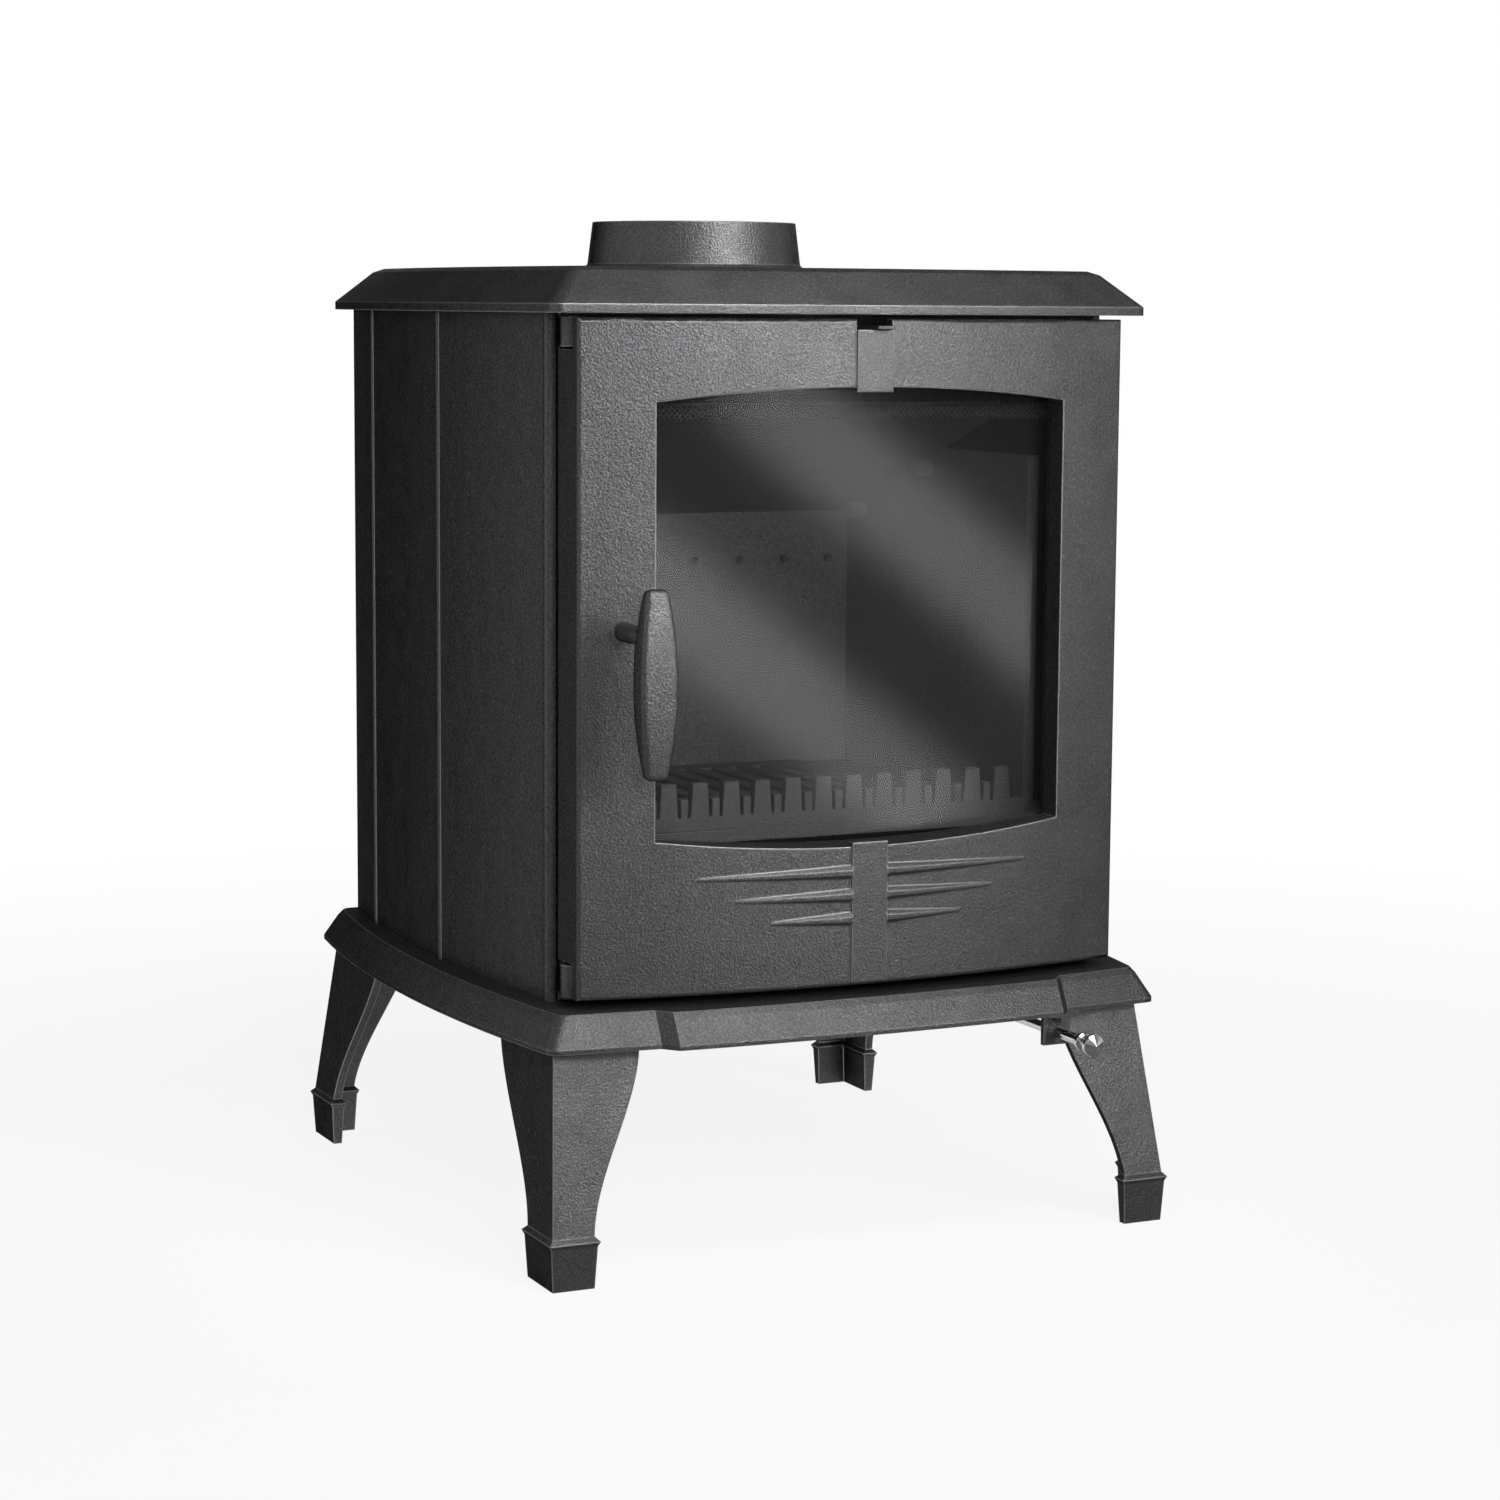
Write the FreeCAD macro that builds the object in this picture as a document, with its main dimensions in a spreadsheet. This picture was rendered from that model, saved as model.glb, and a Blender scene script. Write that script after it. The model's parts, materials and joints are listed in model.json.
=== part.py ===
import FreeCAD, Part
import math
import os
import re
import Sketcher

# A free-standing cast iron stove: a box of bolted castings on four legs, with a bowed glass door hung on the
# right, a lever handle with a latch on the left, an airwash slide at the top and an air shutter underneath.
# Millimetres. The front faces -Y, the floor is z = 0 and x = 0 is the middle of the door.

# Driving sizes
SIZES = {
    # heights
    "leg_height": 146.6,
    "base_rise": 22.4,
    "panel_height": 430,
    "lid_strip": 5.5,
    "lid_rise": 23,
    "collar_height": 32.5,
    # walls and clearances
    "wall": 6,
    "joint_gap": 0.5,
    "seat_gap": 0.3,
    "running_gap": 0.1,
    "hole_gap": 0.2,
    "blind_wall": 1,
    # plan of the shell
    "shell_half_width": 195,
    "side_bow": 13,
    "panel_front": 165,
    "panel_rear": 202,
    "frame_front": 167,
    "frame_corner": 2,
    "bead_radius": 4,
    "bead_proud": 2.2,
    "line_radius": 2.2,
    "line_proud": 1.4,
    "rear_line_y": 140,
    "middle_line_y": -5,
    "ledge_height": 10,
    "ledge_depth": 13,
    "ledge_front": 110,
    "ledge_rear": 125,
    # back panel
    "border_width": 16,
    "border_proud": 2,
    "inlet_radius": 7,
    "inlet_pitch": 50,
    "inlet_height": 50,
    # lid
    "lid_side_overhang": 13.7,
    "lid_front_overhang": 4,
    "lid_rear_overhang": 7,
    "lid_corner": 9,
    "lid_bevel": 27,
    "lid_round": 6,
    "lid_round_drop": 2.5,
    # flue collar
    "flue_radius": 63.5,
    "flue_offset": 49,
    "flue_stop": 3,
    "collar_root_radius": 73.5,
    "collar_top_radius": 70,
    "collar_fillet": 4,
    "collar_screw_ring": 67.8,
    "collar_screw_radius": 2.5,
    "collar_screw_depth": 14,
    "collar_screw_head": 4.2,
    # base
    "base_half_width": 217,
    "base_front": 223,
    "base_rear": 220,
    "base_side_bow": 17,
    "base_front_bow": 12,
    "base_step": 9.5,
    "step_half_width": 136.5,
    "step_run": 8.5,
    "base_corner": 8,
    "base_strip": 3,
    "base_bevel": 11,
    "base_round": 3,
    "base_round_drop": 4,
    "boss_radius": 12,
    # legs
    "foot_half_width": 221.5,
    "foot_reach": 235,
    "foot_lip": 3,
    "foot_height": 33,
    "hip_inset_side": 8.5,
    "hip_inset_front": 15,
    "leg_wall": 6,
    "shin_front": 28,
    "shin_side": 42,
    "hip_front": 58,
    "hip_side": 90,
    "lug_size": 40,
    "lug_thickness": 8,
    "leg_bolt_inset": 26,
    "leg_bolt_radius": 4,
    "leg_bolt_head": 6.5,
    "leg_bolt_head_height": 5.5,
    "leg_bolt_depth": 12,
    # tie rods
    "tie_half_spacing": 178,
    "tie_front": 140,
    "tie_rear": 148,
    "tie_radius": 4,
    "tie_boss_radius": 9,
    "tie_grip": 13,
    "tie_nut_radius": 7.5,
    "tie_nut_height": 6.5,
    "tie_tail": 3,
    # door casting
    "door_half_width": 191,
    "door_front": 205,
    "door_bow": 20.6,
    "door_plate": 8,
    "door_gap_above": 2.5,
    "door_gap_below": 6.4,
    "door_edge_round": 2.5,
    "rope_half_width": 180.5,
    "rope_below": 205,
    "rope_above": 569,
    "rope_radius": 5,
    "rope_corner": 16,
    "rim_wall": 2.7,
    "rim_gap": 6,
    "window_half_width": 143,
    "window_low": 273.7,
    "window_high": 545,
    "window_bow": 9,
    "window_wall": 13,
    "window_lip": 5,
    "bar_half_width": 12.5,
    "bar_proud": 2,
    "bar_overlap": 3,
    "notch_depth": 7,
    "rib_proud": 3,
    "rib_half_height": 5,
    "rib_level": 233.7,
    "rib_pitch": 15,
    "rib_length": 80,
    "rib_length_step": 25,
    # hinge
    "hinge_x": 184.5,
    "hinge_front": 185.5,
    "lug_radius": 10,
    "lug_neck": 7.5,
    "lug_low_height": 20.5,
    "lug_high_height": 18,
    "pin_radius": 4,
    "pin_depth": 28,
    # glass
    "glass_half_width": 152,
    "glass_low": 257,
    "glass_high": 559.8,
    "glass_thickness": 4,
    "tape_thickness": 1.6,
    "clip_grip": 6,
    "clip_half_width": 7,
    "clip_thickness": 2,
    "clip_boss_radius": 5.5,
    "clip_boss_gap": 8,
    "clip_low_gap": 10,
    "clip_low": 310,
    "clip_high": 505,
    "clip_x": 75,
    "clip_screw_radius": 2.4,
    "clip_screw_head": 4.5,
    "clip_screw_head_height": 3,
    "clip_screw_depth": 7,
    # handle and latch
    "handle_x": 163,
    "handle_height": 405,
    "handle_reach": 64,
    "handle_boss_radius": 9.5,
    "handle_boss_back": 11,
    "spindle_radius": 6,
    "spindle_bite": 8,
    "grip_thickness": 18,
    "grip_width": 24.5,
    "grip_end_thickness": 11,
    "grip_end_width": 14,
    "grip_up": 30,
    "grip_down": 86,
    "grip_round": 3.5,
    "tongue_gap": 1,
    "tongue_thickness": 6,
    "tongue_half_width": 7,
    "tongue_length": 22,
    "tongue_heel": 8,
    "tongue_round": 2,
    "thread_radius": 4,
    "thread_tail": 1,
    "nut_radius": 7.5,
    "nut_height": 6,
    # airwash control
    "channel_half_length": 150,
    "channel_level": 566,
    "channel_sheet": 2,
    "channel_depth": 29,
    "channel_back_height": 28,
    "channel_flange": 14,
    "channel_screw_x": 120,
    "channel_screw_radius": 2.4,
    "channel_screw_head": 4,
    "channel_screw_head_height": 2.5,
    "air_slot_length": 32,
    "air_slot_width": 9,
    "air_slot_pitch": 56,
    "slide_half_length": 138,
    "lever_x": 5,
    "lever_half_width": 6,
    "lever_level": 590,
    "lever_reach": 65,
    "lever_travel": 10,
    "lever_room": 3,
    "lever_round": 1,
    "lever_post_gap": 7.5,
    # fire chamber
    "hearth_level": 262,
    "hearth_plate": 8,
    "hearth_half_width": 183,
    "hearth_tongue": 168,
    "hearth_front": 125,
    "hearth_rear": 136,
    "grate_half_width": 100,
    "grate_half_depth": 84,
    "grate_ledge": 9,
    "grate_thickness": 8,
    "grate_slot": 9,
    "grate_pitch": 19,
    "liner_face": 160,
    "liner_thickness": 8,
    "liner_front": 140,
    "liner_back_face": 126,
    "liner_height": 236,
    "back_liner_drop": 36,
    "air_hole_radius": 3.5,
    "air_hole_pitch": 36,
    "air_hole_level": 420,
    "baffle_drop": 51,
    "baffle_run": 229,
    "baffle_rise": 78,
    "baffle_thickness": 8,
    "baffle_side_gap": 2,
    "peg_radius": 6,
    "peg_length": 11,
    "peg_rear": 25,
    "peg_spacing": 100,
    "guard_half_length": 150,
    "guard_thickness": 7,
    "guard_rail": 9,
    "guard_tooth": 31,
    "guard_short_tooth": 21,
    "guard_pitch": 22,
    "guard_tooth_root": 6.5,
    "guard_tooth_tip": 5,
    "guard_short_half": 2.6,
    "pan_half_width": 120,
    "pan_front": 150,
    "pan_rear": 110,
    "pan_height": 40,
    "pan_sheet": 2,
    "pan_rail_x": 95,
    "pan_rail_half": 3,
    # primary air control
    "air_x": 145,
    "air_level": 131,
    "air_hole_front": 78,
    "air_hole_back": 48,
    "air_hole_half": 20,
    "shutter_half": 26,
    "shutter_front": 92,
    "shutter_back": 36,
    "shutter_sheet": 2.5,
    "shutter_gap": 0.7,
    "air_travel": 30,
    "guide_web": 2.5,
    "guide_lip": 6,
    "tab_half_width": 7,
    "tab_drop": 8,
    "air_rod_radius": 3.5,
    "knob_front": 268,
    "knob_length": 19,
    "knob_radius": 7.5,
    "knob_neck": 5,
    "knob_nose": 4,
    "knob_round": 1,
    "bracket_half_width": 10,
    "bracket_foot": 14,
    "bracket_sheet": 4,
    "bracket_drop": 24,
    "bracket_bolt_radius": 2.5,
    "bracket_bolt_head": 4.5,
    "bracket_bolt_head_height": 4,
    "bracket_bolt_depth": 8,
}

# Levels and places worked out from the driving sizes
BASE_TOP = "(leg_height + base_rise)"
BASE_CEILING = f"({BASE_TOP} - wall)"
LID_UNDER = f"({BASE_TOP} + panel_height)"
LID_EDGE = f"({LID_UNDER} + lid_strip)"
LID_TOP = f"({LID_EDGE} + lid_rise)"
LID_CEILING = f"({LID_TOP} - wall)"
LID_HALF_WIDTH = "(shell_half_width + lid_side_overhang)"
LID_FRONT = "(door_front + lid_front_overhang)"
LID_REAR = "(panel_rear + lid_rear_overhang)"
PANEL_INSIDE = "(shell_half_width - wall)"
PANEL_MIDDLE = "((panel_rear - panel_front) / 2)"
PANEL_HALF_LENGTH = "((panel_rear + panel_front) / 2)"
FRAME_HALF_WIDTH = f"({PANEL_INSIDE} - joint_gap)"
FRAME_BACK = "(frame_front - wall)"
DOOR_LOW = f"({BASE_TOP} + door_gap_below)"
DOOR_HIGH = f"({LID_UNDER} - door_gap_above)"
PLATE_BACK = "(door_front - door_plate)"
ROPE_DEPTH = "(frame_front + seat_gap + rope_radius)"
GROOVE_HALF = "(rope_radius + seat_gap)"
GROOVE_FLOOR = f"({ROPE_DEPTH} + rope_radius + hole_gap)"
RIM_BACK = "(frame_front + rim_gap)"
RIM_HALF = f"({GROOVE_HALF} + rim_wall)"
RIM_LOW = f"(rope_below - {RIM_HALF})"
RIM_HIGH = f"(rope_above + {RIM_HALF})"
RIM_INSIDE = f"(rope_half_width - {RIM_HALF})"
OPENING_LOW = f"(rope_below + {RIM_HALF})"
OPENING_HIGH = f"(rope_above - {RIM_HALF})"
GLASS_FRONT = f"({PLATE_BACK} - tape_thickness)"
GLASS_BACK = f"({GLASS_FRONT} - glass_thickness)"
CLIP_SIDE_X = "(glass_half_width + clip_boss_gap)"
CLIP_LOW_Z = "(glass_low - clip_low_gap)"
TONGUE_FRONT = f"({FRAME_BACK} - tongue_gap)"
TONGUE_BACK = f"({TONGUE_FRONT} - tongue_thickness)"
NUT_BACK = f"({TONGUE_BACK} - nut_height)"
GRIP_FRONT = "(door_front + handle_reach)"
GRIP_BACK = f"({GRIP_FRONT} - grip_thickness)"
HEARTH_TOP = "(hearth_level + hearth_plate)"
GUARD_BACK = f"({FRAME_BACK} - joint_gap - guard_thickness)"
BAFFLE_REAR = "(liner_back_face - joint_gap)"
BAFFLE_LEVEL = f"({HEARTH_TOP} + liner_height - baffle_drop)"
BAFFLE_SLANT = "(sqrt(baffle_run^2 + baffle_rise^2) / baffle_run)"
SHUTTER_TOP = f"({BASE_CEILING} - shutter_gap)"
SHUTTER_UNDER = f"({SHUTTER_TOP} - shutter_sheet)"
GUIDE_TOP = f"({SHUTTER_UNDER} - seat_gap)"
CHANNEL_BACK = f"({FRAME_BACK} - channel_depth)"
CHANNEL_FLOOR = "(channel_level + channel_sheet)"
FRAME_SHIFT = f"(({GRIP_FRONT} - foot_reach) / 2)"

# Shares and counts
ARC_SHARE = 1 - math.sqrt(0.5)
ALMOST_HALF_CIRCLE = 0.9999
RIB_FACE_SHARE = 0.3
RIB_SHOULDER_SHARE = 0.85
RIB_SHOULDER_PROUD = 0.3
RIB_TIP_PROUD = 0.1
RIB_TIP_HEIGHT = 0.3
LEG_STEPS = 6
INLETS_EACH_WAY = 2
GRATE_SLOTS_EACH_WAY = 4
AIR_HOLES_EACH_WAY = 4
AIR_SLOTS_EACH_WAY = 2
GUARD_TEETH_EACH_WAY = 6
EDGE_TOLERANCE = 0.01
SIDES = {"left": -1, "right": 1}
ENDS = {"front": -1, "rear": 1}

doc = FreeCAD.newDocument("cast_iron_stove")
sheet = doc.addObject("Spreadsheet::Sheet", "dims")
pieces = []


def fill_sheet():
    """Write every driving size and its name to the sheet."""
    for row, (name, value) in enumerate(SIZES.items(), start=1):
        sheet.set(f"A{row}", name)
        sheet.set(f"B{row}", str(value))
        sheet.setAlias(f"B{row}", name)
    doc.recompute()


def linked(expression):
    """Point every size name in an expression at the sheet."""
    def from_sheet(word):
        return "dims." + word.group() if word.group() in SIZES else word.group()
    return re.sub(r"[a-z_]+", from_sheet, str(expression))


def measure(expression):
    """The value of an expression in the names of the sheet."""
    return float(sheet.evalExpression(str(expression)))


def new_body(name, x="0", depth="0", z="0"):
    """A sub-part whose own origin lies at x, at a depth in front of the middle, and at z."""
    body = doc.addObject("PartDesign::Body", name)
    body.Label = name
    body.AllowCompound = True
    body.setExpression("Placement.Base.x", linked(x))
    body.setExpression("Placement.Base.y", linked(f"{FRAME_SHIFT} - ({depth})"))
    body.setExpression("Placement.Base.z", linked(z))
    pieces.append(body)
    return body


def loop(corners, bows=None):
    """A closed outline through its corners; a bow is the rise of the side that leaves that corner."""
    return "loop", corners, bows or {}


def circle(x, y, radius):
    return "circle", x, y, radius


def box(left, low, right, high):
    return loop([(left, low), (right, low), (right, high), (left, high)])


def hexagon(x, y, radius):
    turns = [math.radians(60 * step) for step in range(6)]
    rays = [(f"{radius} * {math.cos(turn):.6f}", f"{radius} * {math.sin(turn):.6f}") for turn in turns]
    return loop([(f"{x} + {across}", f"{y} + {up}") for across, up in rays])


def rounded_box(left, low, right, high, radius):
    """A rectangle whose corners are quarter circles."""
    corners = [
        (f"{left} + {radius}", low), (f"{right} - {radius}", low),
        (right, f"{low} + {radius}"), (right, f"{high} - {radius}"),
        (f"{right} - {radius}", high), (f"{left} + {radius}", high),
        (left, f"{high} - {radius}"), (left, f"{low} + {radius}"),
    ]
    return loop(corners, {side: f"{radius} * {ARC_SHARE:.6f}" for side in (1, 3, 5, 7)})


def mirrored(shape):
    """The same outline on the other side of x = 0."""
    if shape[0] == "circle":
        return circle(f"-({shape[1]})", shape[2], shape[3])
    corners, bows = shape[1], shape[2]
    count = len(corners)
    flipped = [(f"-({x})", y) for x, y in reversed(corners)]
    return loop(flipped, {(count - 2 - side) % count: bow for side, bow in bows.items()})


def both_sides(shapes):
    return shapes + [mirrored(shape) for shape in shapes]


def steps(each_way):
    """Step numbers of a row with a piece in the middle and some on each side."""
    return range(-each_way, each_way + 1)


def hold(sketch, constraint, expression):
    """Add a size to a sketch and bind it to the sheet."""
    index = sketch.addConstraint(constraint)
    sketch.setExpression(f"Constraints[{index}]", linked(expression))


def draw_circle(sketch, x, y, radius):
    centre = FreeCAD.Vector(measure(x), measure(y), 0)
    edge = sketch.addGeometry(Part.Circle(centre, FreeCAD.Vector(0, 0, 1), measure(radius)), False)
    hold(sketch, Sketcher.Constraint("Radius", edge, measure(radius)), radius)
    hold(sketch, Sketcher.Constraint("DistanceX", -1, 1, edge, 3, centre.x), x)
    hold(sketch, Sketcher.Constraint("DistanceY", -1, 1, edge, 3, centre.y), y)


def draw_arc(sketch, start, end, ends, bow):
    """An arc from start to end that rises by bow to the right of travel; gives its first and last vertex."""
    rise = measure(bow)
    chord = end - start
    radius = (chord.Length ** 2 / 4 + rise ** 2) / (2 * abs(rise))
    outward = FreeCAD.Vector(chord.y, -chord.x, 0) / chord.Length
    centre = (start + end) / 2 + outward * (rise - math.copysign(radius, rise))
    angles = [math.atan2(point.y - centre.y, point.x - centre.x) for point in (start, end)]
    if rise < 0:
        angles.reverse()
    arc = Part.ArcOfCircle(Part.Circle(centre, FreeCAD.Vector(0, 0, 1), radius), *angles)
    edge = sketch.addGeometry(arc, False)
    (x0, y0), (x1, y1) = ends
    chord_squared = f"((({x1}) - ({x0}))^2 + (({y1}) - ({y0}))^2)"
    size = f"{chord_squared} / 8 / abs({bow}) + abs({bow}) / 2"
    hold(sketch, Sketcher.Constraint("Radius", edge, radius), size)
    return ((edge, 1), (edge, 2)) if rise > 0 else ((edge, 2), (edge, 1))


def draw_loop(sketch, corners, bows):
    points = [FreeCAD.Vector(measure(x), measure(y), 0) for x, y in corners]
    count = len(points)
    sides = []
    for index in range(count):
        following = (index + 1) % count
        if index in bows:
            ends = (corners[index], corners[following])
            sides.append(draw_arc(sketch, points[index], points[following], ends, bows[index]))
        else:
            edge = sketch.addGeometry(Part.LineSegment(points[index], points[following]), False)
            sides.append(((edge, 1), (edge, 2)))
    for index in range(count):
        last, first = sides[index][1], sides[(index + 1) % count][0]
        sketch.addConstraint(Sketcher.Constraint("Coincident", *last, *first))
    for (first, _), (x, y), point in zip(sides, corners, points):
        hold(sketch, Sketcher.Constraint("DistanceX", -1, 1, *first, point.x), x)
        hold(sketch, Sketcher.Constraint("DistanceY", -1, 1, *first, point.y), y)


def add_sketch(body, plane, level, shapes):
    """A sketch at a level: XY looks down with level z, XZ has level in front, YZ has level x."""
    sketch = body.newObject("Sketcher::SketchObject", f"{body.Name}_sketch")
    origin = [item for item in body.Origin.OriginFeatures if item.Role == f"{plane}_Plane"][0]
    sketch.AttachmentSupport = [(origin, "")]
    sketch.MapMode = "FlatFace"
    sketch.setExpression("AttachmentOffset.Base.z", linked(level))
    for kind, *parts in shapes:
        if kind == "circle":
            draw_circle(sketch, *parts)
        else:
            draw_loop(sketch, *parts)
    return sketch


def grow(body, plane, start, end, shapes):
    """Add metal between two levels."""
    sketch = add_sketch(body, plane, start, shapes)
    pad = body.newObject("PartDesign::Pad", f"{body.Name}_pad")
    pad.Profile = sketch
    pad.setExpression("Length", linked(f"({end}) - ({start})"))
    doc.recompute()
    return pad


def carve(body, plane, start, end, shapes):
    """Remove metal between two levels, and make sure that some was removed."""
    doc.recompute()
    before = body.Shape.Volume
    sketch = add_sketch(body, plane, end, shapes)
    pocket = body.newObject("PartDesign::Pocket", f"{body.Name}_pocket")
    pocket.Profile = sketch
    pocket.setExpression("Length", linked(f"({end}) - ({start})"))
    doc.recompute()
    if body.Shape.Volume >= before:
        raise RuntimeError(f"a cut in {body.Label} removed nothing")
    return pocket


def loft(body, plane, sections, ruled=True):
    """Add metal that runs through outlines at rising levels."""
    sketches = [add_sketch(body, plane, level, [shape]) for level, shape in sections]
    feature = body.newObject("PartDesign::AdditiveLoft", f"{body.Name}_loft")
    feature.Profile = sketches[0]
    feature.Sections = sketches[1:]
    feature.Ruled = ruled
    doc.recompute()
    return feature


def revolve(body, plane, shape):
    """Turn an outline about the upright axis of its sketch."""
    sketch = add_sketch(body, plane, "0", [shape])
    feature = body.newObject("PartDesign::Revolution", f"{body.Name}_turned")
    feature.Profile = sketch
    feature.ReferenceAxis = (sketch, ["V_Axis"])
    feature.Angle = 360
    doc.recompute()
    return feature


def round_edges(body, radius, wanted):
    """Round the edges of the finished shape that the test picks out."""
    base = body.Tip
    names = [f"Edge{number}" for number, edge in enumerate(base.Shape.Edges, start=1) if wanted(edge)]
    fillet = body.newObject("PartDesign::Fillet", f"{body.Name}_round")
    fillet.Base = (base, names)
    fillet.setExpression("Radius", linked(radius))
    doc.recompute()
    return fillet


def fasteners(name, plane, places, head, shank, nut_head=False):
    """A group of equal screws: head and shank are (radius, start level, end level)."""
    body = new_body(name)
    head_shape = hexagon if nut_head else circle
    grow(body, plane, head[1], head[2], [head_shape(x, y, head[0]) for x, y in places])
    grow(body, plane, shank[1], shank[2], [circle(x, y, shank[0]) for x, y in places])
    return body


# Curves that several pieces share
def door_depth(x, back="0"):
    """How far in front of the middle the bowed door face lies at x, less a depth behind the face."""
    return f"(door_front + door_bow * (1 - (({x}) / door_half_width)^2) - ({back}))"


def panel_bulge(y):
    """How far a side panel bows out at y."""
    return f"(side_bow * (1 - ((({y}) - {PANEL_MIDDLE}) / {PANEL_HALF_LENGTH})^2))"


def baffle_under(y):
    """Height of the underside of the sloping baffle at y."""
    return f"({BAFFLE_LEVEL} + ({BAFFLE_REAR} - ({y})) * baffle_rise / baffle_run)"


def plate_outline(inset, half_width, front, rear, front_bow, side_bow, corner):
    """A lid-like outline: bowed front, bowed sides, straight rear, rounded corners."""
    wide = f"({half_width} - {inset})"
    fore = f"({front} - {inset})"
    aft = f"({rear} - {inset})"
    corners = [
        (f"-{wide} + {corner}", f"-{fore}"), (f"{wide} - {corner}", f"-{fore}"),
        (wide, f"-{fore} + {corner}"), (wide, f"{aft} - {corner}"),
        (f"{wide} - {corner}", aft), (f"-{wide} + {corner}", aft),
        (f"-{wide}", f"{aft} - {corner}"), (f"-{wide}", f"-{fore} + {corner}"),
    ]
    bows = {side: f"({corner} * {ARC_SHARE:.6f})" for side in (1, 3, 5, 7)}
    bows.update({0: front_bow, 2: side_bow, 6: side_bow})
    return loop(corners, bows)


def lid_outline(inset):
    return plate_outline(inset, LID_HALF_WIDTH, LID_FRONT, LID_REAR, "door_bow", "side_bow", "lid_corner")


def base_front_at(x):
    return f"(base_front + base_front_bow * (1 - (({x}) / base_half_width)^2))"


def base_outline(inset):
    """The base seen from above: its front middle is stepped forward between two short slopes."""
    wide = f"(base_half_width - {inset})"
    fore = f"(base_front - {inset})"
    aft = f"(base_rear - {inset})"
    step_out = "(step_half_width + step_run)"
    shoulder = f"({base_front_at(step_out)} - {inset})"
    nose = f"({base_front_at('step_half_width')} + base_step - {inset})"
    corners = [
        (f"-{wide} + base_corner", f"-{fore}"), (f"-{step_out}", f"-{shoulder}"),
        ("-step_half_width", f"-{nose}"), ("step_half_width", f"-{nose}"),
        (step_out, f"-{shoulder}"), (f"{wide} - base_corner", f"-{fore}"),
        (wide, f"-{fore} + base_corner"), (wide, f"{aft} - base_corner"),
        (f"{wide} - base_corner", aft), (f"-{wide} + base_corner", aft),
        (f"-{wide}", f"{aft} - base_corner"), (f"-{wide}", f"-{fore} + base_corner"),
    ]
    bows = {side: f"(base_corner * {ARC_SHARE:.6f})" for side in (5, 7, 9, 11)}
    bows.update({6: "base_side_bow", 10: "base_side_bow"})
    bows[2] = "(base_front_bow * (step_half_width / base_half_width)^2)"
    return loop(corners, bows)


# Places of repeated fasteners
LEG_TOP_X = "(base_half_width - hip_inset_side)"
LEG_TOP_Y = "(base_front - hip_inset_front)"
LEG_BOLT_X = f"({LEG_TOP_X} - leg_bolt_inset)"
LEG_BOLT_Y = f"({LEG_TOP_Y} - leg_bolt_inset)"
LEG_BOLTS = [(f"{sx} * {LEG_BOLT_X}", f"{sy} * {LEG_BOLT_Y}") for sx in (-1, 1) for sy in (-1, 1)]
TIE_RODS = [(f"{sx} * tie_half_spacing", y) for sx in (-1, 1) for y in ("-tie_front", "tie_rear")]
COLLAR_TURNS = [math.radians(angle) for angle in (90, 210, 330)]
COLLAR_RING = [
    (f"collar_screw_ring * {math.cos(a):.6f}", f"collar_screw_ring * {math.sin(a):.6f}") for a in COLLAR_TURNS
]
COLLAR_SCREWS = [(x, f"flue_offset + {y}") for x, y in COLLAR_RING]
SIDE_CLIPS = [(CLIP_SIDE_X, "clip_low"), (CLIP_SIDE_X, "clip_high")]
SIDE_CLIPS += [(f"-{x}", z) for x, z in SIDE_CLIPS]
LOW_CLIPS = [("clip_x", CLIP_LOW_Z), ("-clip_x", CLIP_LOW_Z)]
CHANNEL_SCREW_Z = f"{CHANNEL_FLOOR} + channel_flange - channel_screw_head - hole_gap"
CHANNEL_SCREWS = [(f"{way} * channel_screw_x", CHANNEL_SCREW_Z) for way in (-1, 1)]
BRACKET_BACK = f"({base_front_at('air_x')} - base_bevel - wall + joint_gap)"
BRACKET_BOLT = f"({BRACKET_BACK} + bracket_foot - bracket_bolt_head - joint_gap)"


def circles(places, radius):
    return [circle(x, y, radius) for x, y in places]


# The stand: base plate, legs and their bolts
def make_base():
    base = new_body("base_plate")
    strip_top = "(leg_height + base_strip)"
    grow(base, "XY", "leg_height", strip_top, [base_outline("0")])
    loft(base, "XY", [
        (strip_top, base_outline("0")),
        (f"{BASE_TOP} - base_round_drop", base_outline("(base_bevel - base_round)")),
        (BASE_TOP, base_outline("base_bevel")),
    ])
    carve(base, "XY", "leg_height", BASE_CEILING, [base_outline("(base_bevel + wall)")])
    grow(base, "XY", "leg_height", f"{BASE_CEILING} + wall / 2", circles(LEG_BOLTS, "boss_radius"))
    bolt_hole = "leg_bolt_radius + hole_gap"
    carve(base, "XY", "leg_height", "leg_height + leg_bolt_depth + hole_gap", circles(LEG_BOLTS, bolt_hole))
    rail = box("pan_rail_x - pan_rail_half", "-pan_front", "pan_rail_x + pan_rail_half", "pan_rear")
    grow(base, "XY", BASE_TOP, OPENING_LOW, both_sides([rail]))
    air_hole = box("air_x - air_hole_half", "-air_hole_front", "air_x + air_hole_half", "-air_hole_back")
    carve(base, "XY", BASE_CEILING, BASE_TOP, [air_hole] + circles(TIE_RODS, "tie_radius + hole_gap"))
    bracket_hole = circle("air_x", f"-{BRACKET_BOLT}", "bracket_bolt_radius + hole_gap")
    carve(base, "XY", "leg_height", "leg_height + bracket_bolt_depth + hole_gap", [bracket_hole])


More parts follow.
